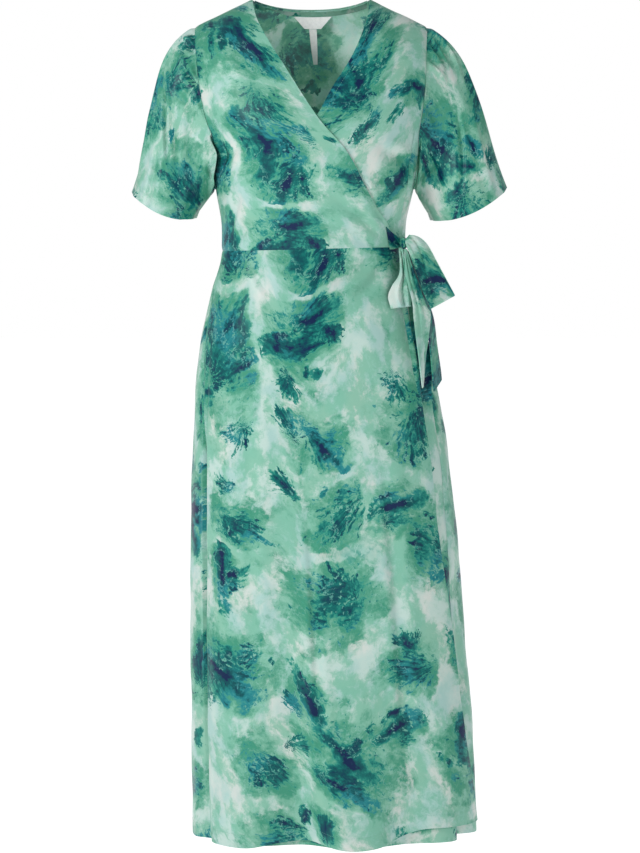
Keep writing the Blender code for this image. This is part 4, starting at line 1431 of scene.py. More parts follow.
@dataclass(frozen=True)
class Sleeve:
    """A short set-in sleeve with a little fullness at its cap."""

    form: DressForm
    drape: Drape
    side: Side
    name: str
    cuff: Cuff
    cutting: Cutting
    cap_pull: float = 0.98
    cuff_pull: float = 1.12
    cap_fall: float = -0.9
    gathers: tuple[float, ...] = (-0.115, -0.06, 0.058, 0.112)
    gather_depth: float = 0.0022
    gather_length: float = 0.34
    gather_spread: float = 0.022
    gather_start: float = 0.08
    gather_fanning: float = 0.8
    ring_step: float = 0.02
    ring_inset: float = 0.004
    columns: int = 168
    rows: int = 90
    thickness: float = 0.001
    hem: Turning = Turning(0.015, 0.0018)
    press_reach: float = 0.0036
    underarm_start: float = 0.5
    underarm_pull: float = 0.45
    level_at_cap: float = 0.035
    smoothing_rounds: int = 6
    crowding: float = 1.5

    def ring(self, turn: Array) -> tuple[Array, Array]:
        """Return the armhole seam.

        Args:
            turn: places round it: 0 at the shoulder, a quarter turn at the front.

        Returns:
            Its points, and the directions in which the sleeve leaves it.
        """
        form = self.form

        def at(where: Array, inset: float) -> Array:
            """Return points on the seam, or a distance in from it."""
            height = form.armhole_height(where)
            angle = form.angle(form.armhole_x(height, self.side) - self.side * inset, height)
            return form.points(np.where(np.sin(where) < 0, math.tau - angle, angle), height)

        place = at(turn, 0.0)
        along = at(turn + self.ring_step, 0.0) - at(turn - self.ring_step, 0.0)
        normal = unit(np.cross(along, at(turn, self.ring_inset) - place) * self.side)
        for _ in range(self.smoothing_rounds):
            normal = unit(normal * 2 + np.roll(normal, 1, axis=0) + np.roll(normal, -1, axis=0))
        out = unit(np.cross(normal, along))
        out = np.where(out[:, :1] * self.side < 0, -out, out)
        return place, out

    def cuff_points(self, turn: Array) -> Array:
        """Return the lower edge's points: 0 is its outer end and a quarter turn its front."""
        cuff = self.cuff
        outer = np.array([cuff.outer_x, 0.0, cuff.outer_z])
        inner = np.array([cuff.inner_x, 0.0, cuff.inner_z])
        points = (outer + inner) / 2 + (outer - inner) / 2 * np.cos(turn)[:, None]
        points[:, 1] = -cuff.half_depth * np.sin(turn)
        points[:, 2] -= cuff.bow * np.sin(turn) ** 2 + cuff.lean * np.sin(turn)
        return points

    def gather(self, share: Array, t: Array) -> Array:
        """Return how far the gathers at the cap push the cloth out.

        Args:
            share: places round the sleeve.
            t: places down it.

        Returns:
            The distance outwards, in metres.
        """
        total = np.zeros(np.broadcast(share, t).shape)
        for place in self.gathers:
            total += bell((share - place * (1 + self.gather_fanning * t)) / self.gather_spread)
        swell = np.minimum(t / self.gather_start, 1.0 - (t - self.gather_start) / self.gather_length)
        return self.gather_depth * total * ease(swell)

    def cloth(self) -> Cloth:
        """Return the sleeve.

        Returns:
            Its grid, from the lower edge up to the armhole.
        """
        cuff, form = self.cuff, self.form
        turn = math.tau * (np.arange(self.columns) / self.columns - 0.5)
        place, out = self.ring(turn)
        end = self.cuff_points(turn)
        t = np.linspace(0.0, 1.0, self.rows)[:, None, None] ** self.crowding
        fall = unit(np.array([self.side, 0.0, self.cap_fall]))
        down = np.array([cuff.inner_z - cuff.outer_z, 0.0, cuff.outer_x - cuff.inner_x])
        length = np.linalg.norm(end - place, axis=-1, keepdims=True)
        under = ease((-np.cos(turn) - self.underarm_start) / (1.0 - self.underarm_start))[:, None]
        lead = mix(unit(out + fall) * length * self.cap_pull,
                   unit(end - place) * length * self.underarm_pull, under)
        trail = unit(down) * -self.side * length * self.cuff_pull
        points = glide(place, lead, end, trail, t)
        share = np.broadcast_to(turn / math.tau, points.shape[:2])
        along = np.broadcast_to(t[..., 0], points.shape[:2])[::-1]
        if self.side is Side.LEFT:
            points, share = points[:, ::-1], share[:, ::-1]
        share = share[::-1]
        cloth = Cloth(points[::-1].copy(), closed=True)
        relief = self.drape.relief(share % 1.0, along) * ease(along / self.level_at_cap)
        cloth.push(relief + self.gather(share, along))
        height = form.armhole_height(share * math.tau)
        behind = np.where(np.sin(share * math.tau) > 0, -1.0, 1.0)
        away = cloth.from_edge(Edge.HEAD) / self.press_reach
        cloth.points = cloth.points + form.armpit_press(height, away, self.side, behind)
        cloth.sink(Edge.HEAD)
        return cloth

    def build(self, finishes: Finishes) -> None:
        """Build the sleeve and the stitches of its hem.

        Args:
            finishes: the materials and the stitching.
        """
        cloth = self.cloth()
        thickness = mix(self.thickness, self.hem.thickness, self.hem.share(cloth, Edge.FOOT))
        line = self.hem.stitch_line(cloth, Edge.FOOT)
        finish_sheet(cloth, self.name, thickness, self.cutting, finishes, Held.DRAPED)
        round_line = np.concatenate([line, line[:1]])
        finishes.stitching.sew(self.name + "_hem_stitches", [round_line], finishes.thread)


@dataclass(frozen=True)
class Skirt:
    """The back, the wrapping over front and the under front, from the waist seam to the hem.

    The over hem's marks are how far it lies above the level hem over the angle in degrees.
    """

    form: DressForm
    drape: Drape
    bodice: Bodice
    under_hollow: Drape
    lines: tuple[SkirtLine, ...] = table(SkirtLine, (
        (-0.345, -1.0, 1.0, 0.915, -0.82),
        (-0.403, -0.992, 0.985, 0.88, -0.8),
        (-0.468, -0.965, 0.96, 0.855, -0.78),
        (-0.535, -0.93, 0.943, 0.845, -0.76),
        (-0.62, -0.905, 0.932, 0.842, -0.75),
        (-0.755, -0.9, 0.92, 0.846, -0.75),
        (-0.87, -0.9, 0.93, 0.884, -0.75),
        (-1.025, -0.9, 0.945, 0.925, -0.75),
        (-1.09, -0.9, 0.95, 0.968, -0.75),
        (-1.17, -0.9, 0.955, 0.998, -0.75),
    ))
    over_hem: tuple[Mark, ...] = table(Mark, (
        (0, 0.02), (40, 0.0205), (50, 0.019), (62, 0.0105), (72, 0.0),
        (84, -0.0035), (92, 0.0015), (100, 0.007), (112, 0.0045), (127, -0.003),
        (150, 0.0),
    ))
    back_columns: int = 190
    over_columns: int = 170
    under_columns: int = 140
    rows: int = 200
    thickness: float = 0.001
    hem: Turning = Turning(0.02, 0.0018)
    edge_turning: Turning = Turning(0.01, 0.0018, 4.0)
    back_cutting: Cutting = Cutting(0.1, -0.4)
    over_cutting: Cutting = Cutting(0.41, 1.22, 2.0)
    # The under front is cut so that dark print lies beside the bow's tail: painted shadow in the strip
    # that the tail shades.
    under_cutting: Cutting = Cutting(0.956, 0.848)

    def line(self, column: str, behind: bool = False) -> Line:
        """Return one of the skirt's lines as an angle over the height."""
        curve = Curve.of(self.lines, "height", column)
        start = math.tau if behind else 0.0
        return lambda height: start + np.arccos(np.clip(curve.at(height), -1.0, 1.0))

    def panel(self, start: Line, end: Line, columns: int, side: Side | None,
              seams: Sequence[Edge]) -> Cloth:
        """Return a panel between two lines.

        Args:
            start: the angle of its first edge over the height.
            end: the angle of its last edge.
            columns: how many points it has across.
            side: right for the over front, left for the under front and None for the back.
            seams: its sewn edges.

        Returns:
            The panel's grid.
        """
        form, over = self.form, side is Side.RIGHT
        u = np.linspace(0.0, 1.0, columns)[None, :]
        v = np.linspace(0.0, 1.0, self.rows)[:, None]
        low = np.array(form.hem)
        if over:
            rise = Curve.of(self.over_hem)
            low = low + rise.at(np.degrees(mix(start(form.hem), end(form.hem), u)))
        level = mix(low, form.waist, v)
        angle = mix(start(level), end(level), u)
        height = mix(low, form.waist_at(np.cos(angle)), v)
        cloth = Cloth(form.points(angle, height, not over))
        if side is not None:
            cloth.push(self.bodice.lift_at(side, np.cos(angle)))
        cloth.push(self.drape.relief(np.degrees(angle) % 360.0, height))
        if side is Side.LEFT:
            cloth.push(self.under_hollow.relief(np.degrees(angle), height))
        for seam in seams:
            cloth.sink(seam)
        return cloth

    def build(self, finishes: Finishes) -> None:
        """Build the three panels and the stitches of their hems.

        Args:
            finishes: the materials and the stitching.
        """
        left, right = self.line("left_seam"), self.line("right_seam")
        back = self.panel(self.line("right_seam", behind=True), left, self.back_columns, None,
                          (Edge.HEAD, Edge.FIRST, Edge.LAST))
        over = self.panel(left, self.line("over_edge"), self.over_columns, Side.RIGHT,
                          (Edge.HEAD, Edge.FIRST))
        under = self.panel(self.line("under_edge"), right, self.under_columns, Side.LEFT,
                           (Edge.HEAD, Edge.LAST))
        for panel, name, cutting, carrier, free in (
            (back, "skirt_back", self.back_cutting, "back_bodice", None),
            (over, "skirt_front_over", self.over_cutting, "front_bodice_over", Edge.LAST),
            (under, "skirt_front_under", self.under_cutting, "front_bodice_under", Edge.FIRST),
        ):
            turned = self.hem.share(panel, Edge.FOOT)
            if free:
                turned = np.maximum(turned, self.edge_turning.share(panel, free))
            thickness = mix(self.thickness, self.hem.thickness, turned)
            line = self.hem.stitch_line(panel, Edge.FOOT)
            finish_sheet(panel, name, thickness, cutting, finishes, Held.HUNG)
            finishes.stitching.sew(name + "_hem_stitches", [line], finishes.thread)


@dataclass(frozen=True)
class NeckInside:
    """What shows inside the back neck: the binding, and the bare label with its strip."""

    form: DressForm
    half_width: float = 0.078
    inset: float = 0.0014
    binding_top: float = 0.0003
    binding_foot: float = 0.009
    binding_thickness: float = 0.001
    binding_columns: int = 120
    binding_rows: int = 12
    binding_cutting: Cutting = Cutting(0.32, 1.05, 64.0)
    binding_stitches: float = 0.0012
    label_top: float = 0.053
    label_foot: float = 0.023
    label_height: float = 0.0165
    label_centre: float = 0.0025
    label_drop: float = 0.0098
    label_thickness: float = 0.0007
    label_ripple: float = 0.0005
    label_columns: int = 60
    label_rows: int = 30
    label_cutting: Cutting = Cutting(0.0, 0.0)
    label_stitches: float = 0.0014
    strip_gap: float = 0.0003
    strip_length: float = 0.05
    strip_top: float = 0.0106
    strip_foot: float = 0.008
    strip_twist: float = math.radians(50)
    strip_twist_power: float = 1.5
    strip_drift: float = 0.0035
    strip_swing: float = 0.004
    strip_columns: int = 9
    strip_rows: int = 50
    strip_cutting: Cutting = Cutting(0.1, 0.0)

    def inside(self, x: Array, drop: Array) -> Array:
        """Return points inside the back and its binding, a drop below its neck edge."""
        height = self.form.back_neck(x) - drop
        points = self.form.points(math.tau - self.form.angle(x, height), height)
        points[..., 1] -= self.inset + self.binding_thickness
        return points

    def binding(self) -> Cloth:
        """Return the binding, turned to the inside."""
        x = np.linspace(-self.half_width, self.half_width, self.binding_columns)[None, :]
        drop = np.linspace(self.binding_foot, self.binding_top, self.binding_rows)[:, None]
        return Cloth(self.inside(*np.broadcast_arrays(x, drop)))

    def label(self) -> Cloth:
        """Return the woven label, which hangs straight down and narrows to its foot.

        Returns:
            Its grid.
        """
        v = np.linspace(0.0, 1.0, self.label_rows)[:, None]
        u = np.linspace(-0.5, 0.5, self.label_columns)[None, :]
        x = self.label_centre + u * mix(self.label_foot, self.label_top, v)
        points = self.inside(x, np.full_like(x, self.label_drop))
        points[..., 2] -= self.label_height * (1 - v)
        points[..., 1] -= self.label_ripple * np.sin(u * 9 + v * 4) * (1 - v)
        return Cloth(points)

    def strip(self) -> Cloth:
        """Return the narrow strip that hangs from the label and twists.

        Returns:
            Its grid.
        """
        top = self.inside(np.array([self.label_centre]), np.array([self.label_drop]))[0]
        down = 1 - np.linspace(0.0, 1.0, self.strip_rows)[:, None]
        u = np.linspace(-0.5, 0.5, self.strip_columns)[None, :]
        across = u * mix(self.strip_top, self.strip_foot, down)
        turn = self.strip_twist * down ** self.strip_twist_power
        x = top[0] + self.strip_drift * down + np.cos(turn) * across
        y = top[1] - self.strip_swing * down - np.sin(turn) * across
        z = top[2] - self.label_height - self.strip_gap - self.strip_length * down + 0 * u
        return Cloth(np.stack([x, y, z], axis=-1))

    def build(self, finishes: Finishes) -> None:
        """Build the binding, the label and its strip.

        Args:
            finishes: the materials and the stitching.
        """
        binding, label, strip = self.binding(), self.label(), self.strip()
        white = replace(finishes, right_side=finishes.label, reverse=finishes.label)
        sewn = binding.line_beside(Edge.FOOT, self.binding_stitches)
        finish_sheet(binding, "neck_binding", self.binding_thickness, self.binding_cutting, finishes,
                     Held.HUNG)
        finishes.stitching.sew("neck_binding_stitches", [sewn], finishes.thread)
        sewn = label.line_beside(Edge.HEAD, self.label_stitches)
        finish_sheet(label, "label_woven", self.label_thickness, self.label_cutting, white,
                     Held.HUNG, Slot.LABEL)
        finish_sheet(strip, "label_strip", self.label_thickness, self.strip_cutting, white,
                     Held.HUNG, Slot.LABEL)
        finishes.stitching.sew("label_stitches", [sewn], finishes.label_thread)


@dataclass(frozen=True)
class Station:
    """The two edges of a stretch of sash at one place along it."""

    left_x: float
    left_y: float
    left_z: float
    right_x: float
    right_y: float
    right_z: float


@dataclass(frozen=True)
class Pleat:
    """A crease along a stretch of sash: its shares across at the knot and at the end."""

    start: float
    end: float
    width: float
    depth: float
    fade: float = 0.0

    def relief(self, u: Array, share: Array | float = 0.0) -> Array:
        """Return how far it pushes the sash out, over shares across and along."""
        away = (u - mix(self.start, self.end, share)) / self.width
        return self.depth * bell(away) * (1 - self.fade * share)


@dataclass(frozen=True)
class Sash:
    """A stretch of the sash: a flat tail, or a loop that goes out and back behind."""

    name: str
    stations: tuple[Station, ...]
    pleats: tuple[Pleat, ...]
    cutting: Cutting
    loop: bool = False
    crown: float = 0.0016
    crown_power: int = 4
    pleat_onset: float = 9.0
    rounding: float = 0.003
    thickness: float = 0.0016
    back_crown: float = 0.3
    columns: int = 40
    rows: int = 70
    fold_rows: int = 14

    def edges(self, share: Array) -> tuple[Array, Array]:
        """Return the two edges' points.

        Args:
            share: shares of the way from the knot.

        Returns:
            The points of the left and of the right edge.
        """
        values = Curve.read(self.stations, share * (len(self.stations) - 1))
        return np.stack(values[:3], axis=-1), np.stack(values[3:], axis=-1)

    def raised(self, left: Array, right: Array, share: Array, crown: Array | float) -> Array:
        """Return rows across the sash, raised in the middle and pleated.

        Args:
            left: the left edge's points.
            right: the right edge's points.
            share: how far along each row lies.
            crown: how high the middle stands.

        Returns:
            The points: rows, columns and x, y, z.
        """
        u = np.linspace(0.0, 1.0, self.columns)[None, :]
        share = share[:, None]
        lift = crown * (1 - (2 * u - 1) ** self.crown_power)
        for pleat in self.pleats:
            lift = lift + pleat.relief(u, share) * ease(share * self.pleat_onset)
        points = mix(left[:, None], right[:, None], u[..., None])
        points[..., 1] -= lift
        return points

    def cloth(self) -> Cloth:
        """Return the stretch.

        Returns:
            Its grid, whose right side faces the front.
        """
        share = np.linspace(0.0, 1.0, self.rows)
        left, right = self.edges(share)
        front = self.raised(left, right, share, self.crown)
        if not self.loop:
            return Cloth(front[::-1].copy())
        gap = self.thickness * 2 + self.rounding
        behind = np.array([0.0, gap, 0.0])
        flat = replace(self, pleats=())
        back = flat.raised(left + behind, right + behind, share, -self.crown * self.back_crown)
        onward = unit(left[-1] - left[-2] + right[-1] - right[-2])
        turn = np.linspace(0.0, math.pi, self.fold_rows + 2)[1:-1, None]
        push = onward * np.sin(turn) * gap / 2
        share_back = (1 - np.cos(turn)) / 2
        fold = mix(front[-1][None], back[-1][None], share_back[..., None]) + push[:, None]
        return Cloth(np.concatenate([back, fold[::-1], front[::-1]]))

    def build(self, finishes: Finishes) -> None:
        """Build the stretch."""
        finish_sheet(self.cloth(), self.name, self.thickness, self.cutting, finishes,
                     Held.FOLDED if self.loop else Held.HUNG, Slot.SASH)


@dataclass(frozen=True)
class StubLine:
    """A line across the short end on the over front: its two ends, and how far out it lies."""

    low_x: float
    low_z: float
    high_x: float
    high_z: float
    outward: float


@dataclass(frozen=True)
class Wrap:
    """A turn of cloth round the knot: its place down it, its slant and where that starts."""

    place: float
    slant: float
    phase: float


@dataclass(frozen=True)
class Bow:
    """The sash tied at the waist: the short end, the knot, two loops and two tails."""

    form: DressForm
    stub_lines: tuple[StubLine, ...] = table(StubLine, (
        (0.1065, -0.348, 0.101, -0.317, 0.0048),
        (0.1115, -0.3475, 0.107, -0.3235, 0.0052),
        (0.1168, -0.3445, 0.1159, -0.3325, 0.008),
    ))
    tail_front: tuple[Station, ...] = table(Station, (
        (0.1286, -0.072, -0.3472, 0.1327, -0.072, -0.3479),
        (0.1289, -0.087, -0.3651, 0.1385, -0.085, -0.3679),
        (0.1313, -0.1, -0.3898, 0.1472, -0.094, -0.3926),
        (0.1386, -0.109, -0.4185, 0.1582, -0.095, -0.4242),
        (0.141, -0.11, -0.4417, 0.1647, -0.09, -0.438),
        (0.1448, -0.111, -0.4705, 0.1618, -0.088, -0.471),
        (0.1477, -0.112, -0.4896, 0.1591, -0.086, -0.4903),
        (0.1505, -0.113, -0.5128, 0.1571, -0.086, -0.5137),
        (0.1535, -0.113, -0.5375, 0.1554, -0.086, -0.5357),
    ))
    tail_side: tuple[Station, ...] = table(Station, (
        (0.125, -0.062, -0.3514, 0.1345, -0.06, -0.3504),
        (0.136, -0.066, -0.386, 0.147, -0.042, -0.38),
        (0.148, -0.067, -0.419, 0.161, -0.038, -0.416),
        (0.1585, -0.068, -0.446, 0.1705, -0.037, -0.443),
        (0.164, -0.068, -0.475, 0.1755, -0.036, -0.48),
        (0.1675, -0.069, -0.512, 0.1805, -0.037, -0.514),
        (0.1705, -0.07, -0.544, 0.182, -0.038, -0.529),
    ))
    loop_right: tuple[Station, ...] = table(Station, (
        (0.1299, -0.0735, -0.3403, 0.1299, -0.0735, -0.3334),
        (0.1353, -0.0765, -0.3528, 0.1382, -0.07, -0.3283),
        (0.1404, -0.079, -0.3679, 0.1493, -0.068, -0.3314),
        (0.1462, -0.08, -0.3836, 0.1605, -0.065, -0.3417),
        (0.1526, -0.078, -0.402, 0.173, -0.061, -0.3638),
        (0.1644, -0.072, -0.4273, 0.1979, -0.055, -0.4095),
    ))
    loop_left: tuple[Station, ...] = table(Station, (
        (0.121, -0.07, -0.3472, 0.1279, -0.07, -0.3472),
        (0.1221, -0.08, -0.3652, 0.1297, -0.081, -0.3652),
        (0.1209, -0.085, -0.383, 0.133, -0.086, -0.3858),
        (0.1109, -0.089, -0.3988, 0.1356, -0.09, -0.4009),
        (0.106, -0.092, -0.4132, 0.1377, -0.09, -0.416),
        (0.1092, -0.093, -0.4267, 0.137, -0.09, -0.4233),
    ))
    stub_end: tuple[Point, Point] = (
        (0.1278, -0.076, -0.3328), (0.128, -0.076, -0.3452))
    stub_columns: int = 24
    stub_rows: int = 30
    stub_wrap_rows: int = 16
    stub_pleats: tuple[Pleat, ...] = (Pleat(0.55, 0.55, 0.12, -0.0012), Pleat(0.25, 0.25, 0.08, -0.0008))
    stub_wrap_pleat: Pleat = Pleat(0.42, 0.42, 0.1, -0.0016)
    stub_pleat_onset: float = 0.8
    stub_bulge: float = 0.003
    stub_cutting: Cutting = Cutting(0.932, 0.044)
    knot_centre: Point = (0.1285, -0.0665, -0.3398)
    knot_radii: Point = (0.0045, 0.01, 0.0085)
    knot_rows: int = 60
    knot_columns: int = 72
    knot_waist: float = 0.14
    knot_waist_reach: float = 0.3
    knot_wraps: tuple[Wrap, ...] = (Wrap(1.05, 0.42, 0.6), Wrap(1.75, 0.3, 0.2), Wrap(2.35, 0.36, 1.1))
    wrap_width: float = 0.1
    wrap_depth: float = 0.09
    wrap_swell: float = 0.03
    wrap_swell_place: float = 1.8
    pole_fade: float = 0.5
    knot_spread: float = 1.3
    knot_cutting: Cutting = Cutting(0.555, 1.626)
    thickness: float = 0.0016

    def stretches(self) -> tuple[Sash, ...]:
        """Return the loops and tails.

        Returns:
            Each with its pleats and its place on the printed cloth.
        """
        return (
            Sash("loop_right", self.loop_right,
                 (Pleat(1.05, 0.25, 0.07, -0.004, 0.75), Pleat(0.3, 0.1, 0.1, 0.0016, 0.5),
                  Pleat(0.88, 0.86, 0.1, 0.0014, 0.5)), Cutting(0.668, 2.12), loop=True),
            Sash("loop_left", self.loop_left,
                 (Pleat(0.45, 0.74, 0.06, -0.0036, 0.1), Pleat(0.2, 0.5, 0.1, 0.0022, 0.1),
                  Pleat(0.8, 0.92, 0.06, 0.0014, 0.1)), Cutting(0.8, 0.596), loop=True),
            Sash("tail_front", self.tail_front,
                 (Pleat(0.34, 0.26, 0.07, -0.003, 0.9), Pleat(0.66, 0.72, 0.08, -0.0026, 0.8),
                  Pleat(0.5, 0.48, 0.1, 0.0012, 0.3)), Cutting(1.388, 0.032)),
            Sash("tail_side", self.tail_side,
                 (Pleat(0.45, 0.55, 0.16, -0.0012, 0.4),), Cutting(0.992, 1.484)),
        )

    def stub(self) -> Cloth:
        """Return the short end that lies on the over front, up to the knot.

        Returns:
            Its grid.
        """
        form, lines = self.form, self.stub_lines
        share = np.linspace(0.0, len(lines) - 1, self.stub_rows)[:, None]
        low_x, low_z, high_x, high_z, outward = Curve.read(lines, share)
        u = np.linspace(0.0, 1.0, self.stub_columns)[None, :]
        x, height = mix(high_x, low_x, u), mix(high_z, low_z, u)
        points = form.points(form.angle(x, height), height)
        half, front = form.columns["half_width"].at(height), form.columns["front"].at(height)
        out = unit(np.stack([x / half ** 2, points[..., 1] / front ** 2, 0 * x], axis=-1))
        pleats = sum(pleat.relief(u) for pleat in self.stub_pleats)
        points = points + out * (outward + pleats * ease(share / self.stub_pleat_onset))[..., None]
        onward = (np.arange(self.stub_wrap_rows) + 1)[:, None, None] / self.stub_wrap_rows
        end = mix(np.array(self.stub_end[0]), np.array(self.stub_end[1]), u[0][:, None])
        wrap = mix(points[-1][None], end[None], onward)
        wrap[..., 1] -= self.stub_bulge * np.sin(math.pi * onward[..., 0])
        wrap[..., 1] -= self.stub_wrap_pleat.relief(u) * onward[..., 0]
        return Cloth(np.concatenate([points, wrap]))

    def knot(self, finishes: Finishes) -> None:
        """Build the knot: cloth wrapped round on a slant and drawn tight in the middle.

        Args:
            finishes: the materials.
        """
        tilt = math.pi * (1 - np.arange(1, self.knot_rows) / self.knot_rows)[:, None]
        turn = (math.tau * np.arange(self.knot_columns) / self.knot_columns)[None, :]
        swell = 1.0 - self.knot_waist * bell((tilt - math.pi / 2) / self.knot_waist_reach)
        for wrap in self.knot_wraps:
            away = (tilt - wrap.place - wrap.slant * np.sin(turn + wrap.phase)) / self.wrap_width
            beside = bell(np.abs(away) - self.wrap_swell_place)
            swell = swell - self.wrap_depth * bell(away) + self.wrap_swell * beside
        swell = mix(1.0, swell, np.sin(tilt) ** self.pole_fade)
        direction = np.stack([np.sin(tilt) * np.cos(turn) * swell, np.sin(tilt) * np.sin(turn) * swell,
                              np.cos(tilt) + 0 * turn], axis=-1)
        grid = np.array(self.knot_centre) + direction * np.array(self.knot_radii)
        poles = np.array([[0, 0, -self.knot_radii[2]], [0, 0, self.knot_radii[2]]]) + self.knot_centre
        count = grid.shape[0] * grid.shape[1]
        index = close_round(np.arange(count).reshape(grid.shape[:2]))
        foot = [(count, b, a) for a, b in zip(index[0], index[0, 1:])]
        head = [(count + 1, a, b) for a, b in zip(index[-1], index[-1, 1:])]
        around = np.stack(quads(index), axis=-1).reshape(-1, 4).tolist()
        faces = [tuple(quad) for quad in around] + foot + head
        points = np.concatenate([grid.reshape(-1, 3), poles])
        x, y, z = points.T
        spread, cutting = self.knot_spread, self.knot_cutting
        cut = np.stack([x * spread + y + cutting.across, z * spread + cutting.along], axis=-1)
        corners = np.array([corner for face in faces for corner in face])
        piece = make_object("tie_knot_cloth", points, faces, (finishes.right_side,), cut[corners])
        carry(piece, "tie_knot", Slot.SASH)
        log.info("tie_knot: %d faces", len(faces))

    def build(self, finishes: Finishes) -> None:
        """Build the bow.

        Args:
            finishes: the materials.
        """
        finish_sheet(self.stub(), "tie_stub", self.thickness, self.stub_cutting, finishes,
                     Held.LAID, Slot.SASH)
        self.knot(finishes)
        for stretch in self.stretches():
            stretch.build(finishes)


@dataclass(frozen=True)
class Stitching:
    """Rows of lockstitch: a small spindle of thread at every step of a line."""

    pitch: float = 0.0034
    length: float = 0.0027
    radius: float = 0.00018
    segments: int = 6
    rings: int = 4

    @cached_property
    def tree(self) -> bpy.types.GeometryNodeTree:
        """Return the tree that sets spindles along lines, with its sizes as named inputs.

        Returns:
            The tree, which all rows share.
        """
        tree = bpy.data.node_groups.new("stitch_row", "GeometryNodeTree")
        kinds = {"Geometry": "Geometry", "Pitch": "Float", "Length": "Float", "Radius": "Float",
                 "Thread": "Material"}
        for name, kind in kinds.items():
            tree.interface.new_socket(name, in_out="INPUT", socket_type="NodeSocket" + kind)
        tree.interface.new_socket("Geometry", in_out="OUTPUT", socket_type="NodeSocketGeometry")
        graph = Graph(tree)
        given = {name: graph.node("NodeGroupInput", {}, {}, name) for name in kinds}
        line = graph.node("GeometryNodeMeshToCurve", {}, {"Mesh": given["Geometry"]})
        steps = graph.node("GeometryNodeResampleCurve", {"mode": "LENGTH"},
                           {"Curve": line, "Length": given["Pitch"]})
        ball = graph.node("GeometryNodeMeshUVSphere", {},
                          {"Segments": self.segments, "Rings": self.rings, "Radius": 1.0})
        axes = {"X": given["Radius"], "Y": given["Radius"], "Z": given["Length"] * 0.5}
        size = graph.node("ShaderNodeCombineXYZ", {}, axes)
        spindle = graph.node("GeometryNodeTransform", {}, {"Geometry": ball, "Scale": size})
        tangent = graph.node("GeometryNodeInputTangent")
        turn = graph.node("FunctionNodeAlignRotationToVector", {"axis": "Z"}, {"Vector": tangent})
        row = graph.node("GeometryNodeInstanceOnPoints", {},
                         {"Points": steps, "Instance": spindle, "Rotation": turn})
        real = graph.node("GeometryNodeRealizeInstances", {}, {"Geometry": row})
        smooth = graph.node("GeometryNodeSetShadeSmooth", {}, {"Geometry": real})
        dyed = graph.node("GeometryNodeSetMaterial", {},
                          {"Geometry": smooth, "Material": given["Thread"]})
        graph.feed(tree.nodes.new("NodeGroupOutput").inputs["Geometry"], dyed)
        return tree

    def sew(self, name: str, lines: Sequence[Array], thread: Material) -> None:
        """Sew rows of stitches along lines, as one plain mesh.

        Args:
            name: the piece's name.
            lines: the points of each line, in order.
            thread: the thread's material.
        """
        mesh = bpy.data.meshes.new(name + "_lines")
        points, edges = [], []
        for line in lines:
            first = len(points)
            points += line.tolist()
            edges += [(first + i, first + i + 1) for i in range(len(line) - 1)]
        mesh.from_pydata(points, edges, [])
        carrier = add_object(name + "_lines", mesh)
        modifier = carrier.modifiers.new("stitches", "NODES")
        modifier.node_group = self.tree
        values = {"Pitch": self.pitch, "Length": self.length, "Radius": self.radius, "Thread": thread}
        for item in self.tree.interface.items_tree:
            if item.in_out == "INPUT" and item.name in values:
                modifier[item.identifier] = values[item.name]
        evaluated = carrier.evaluated_get(bpy.context.evaluated_depsgraph_get())
        sewn = bpy.data.meshes.new_from_object(evaluated)
        bpy.data.objects.remove(carrier, do_unlink=True)
        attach(add_object(name, sewn), "root")
        log.info("%s: %d faces", name, len(sewn.polygons))


@dataclass(frozen=True)
class Thread:
    """Sewing thread: twisted, with a low sheen."""

    name: str
    light: Colour
    dark: Colour
    twist: float = 4200.0
    light_edge: Span = (0.35, 0.65)
    shine: float = 0.55

    def build(self) -> Material:
        """Return the thread's material."""
        shade = Shade(self.name)
        place = shade.node("ShaderNodeTexCoord", {}, {}, "Object")
        shares = shade.noise(place, self.twist, 1.0).step(*self.light_edge)
        shade.surface(base_color=shade.blend(shares, self.dark, self.light), roughness=self.shine)
        return shade.material


@dataclass(frozen=True)
class WovenLabel:
    """White label satin: fine cross ribs, a little uneven."""

    name: str = "label_satin"
    white: Colour = srgb(244, 244, 243)
    grey: Colour = srgb(222, 224, 224)
    rib_waves: float = 1000.0
    warp_waves: float = 1500.0
    weave_share: float = 0.35
    uneven_waves: float = 240.0
    white_edge: Span = (0.2, 0.8)
    shine: float = 0.6

    def build(self) -> Material:
        """Return the label's material.

        Returns:
            The material, which reads the piece's own UV map in metres.
        """
        shade = Shade(self.name)
        place = shade.node("ShaderNodeUVMap", {"uv_map": CUT_MAP}, {}, "UV")
        up = shade.node("ShaderNodeSeparateXYZ", {}, {"Vector": place}, "Y")

        def ribs(along: Field, waves: float) -> Field:
            """Return ribs across a direction, from -1 to 1."""
            return shade.node("ShaderNodeMath", {"operation": "SINE"}, {0: along * (waves * math.tau)})

        weave = ribs(up, self.rib_waves) * ribs(up.sibling("X"), self.warp_waves) * 0.5 + 0.5
        uneven = shade.noise(place, self.uneven_waves, 3.0)
        light = (uneven + (weave - uneven) * self.weave_share).step(*self.white_edge)
        bump = {"Height": weave, "Strength": 0.25, "Distance": 0.0001}
        shade.surface(base_color=shade.blend(light, self.grey, self.white), roughness=self.shine,
                      normal=shade.node("ShaderNodeBump", {}, bump, "Normal"))
        return shade.material


@dataclass(frozen=True)
class Lamp:
    """A soft square lamp: where it hangs, what it faces, its side and its power in watts."""

    name: str
    place: Point
    aim: Point
    size: float
    power: float

    def build(self) -> None:
        """Hang the lamp."""
        data = bpy.data.lights.new(self.name, "AREA")
        data.shape = "SQUARE"
        data.size = self.size
        data.energy = self.power
        face(add_object(self.name, data), self.place, self.aim)


def face(item: bpy.types.Object, place: Sequence[float], aim: Sequence[float]) -> None:
    """Set a lamp or a camera at a place so that it faces another."""
    turn = (Vector(aim) - Vector(place)).to_track_quat("-Z", "Y").to_matrix().to_4x4()
    item.matrix_world = Matrix.Translation(Vector(place)) @ turn


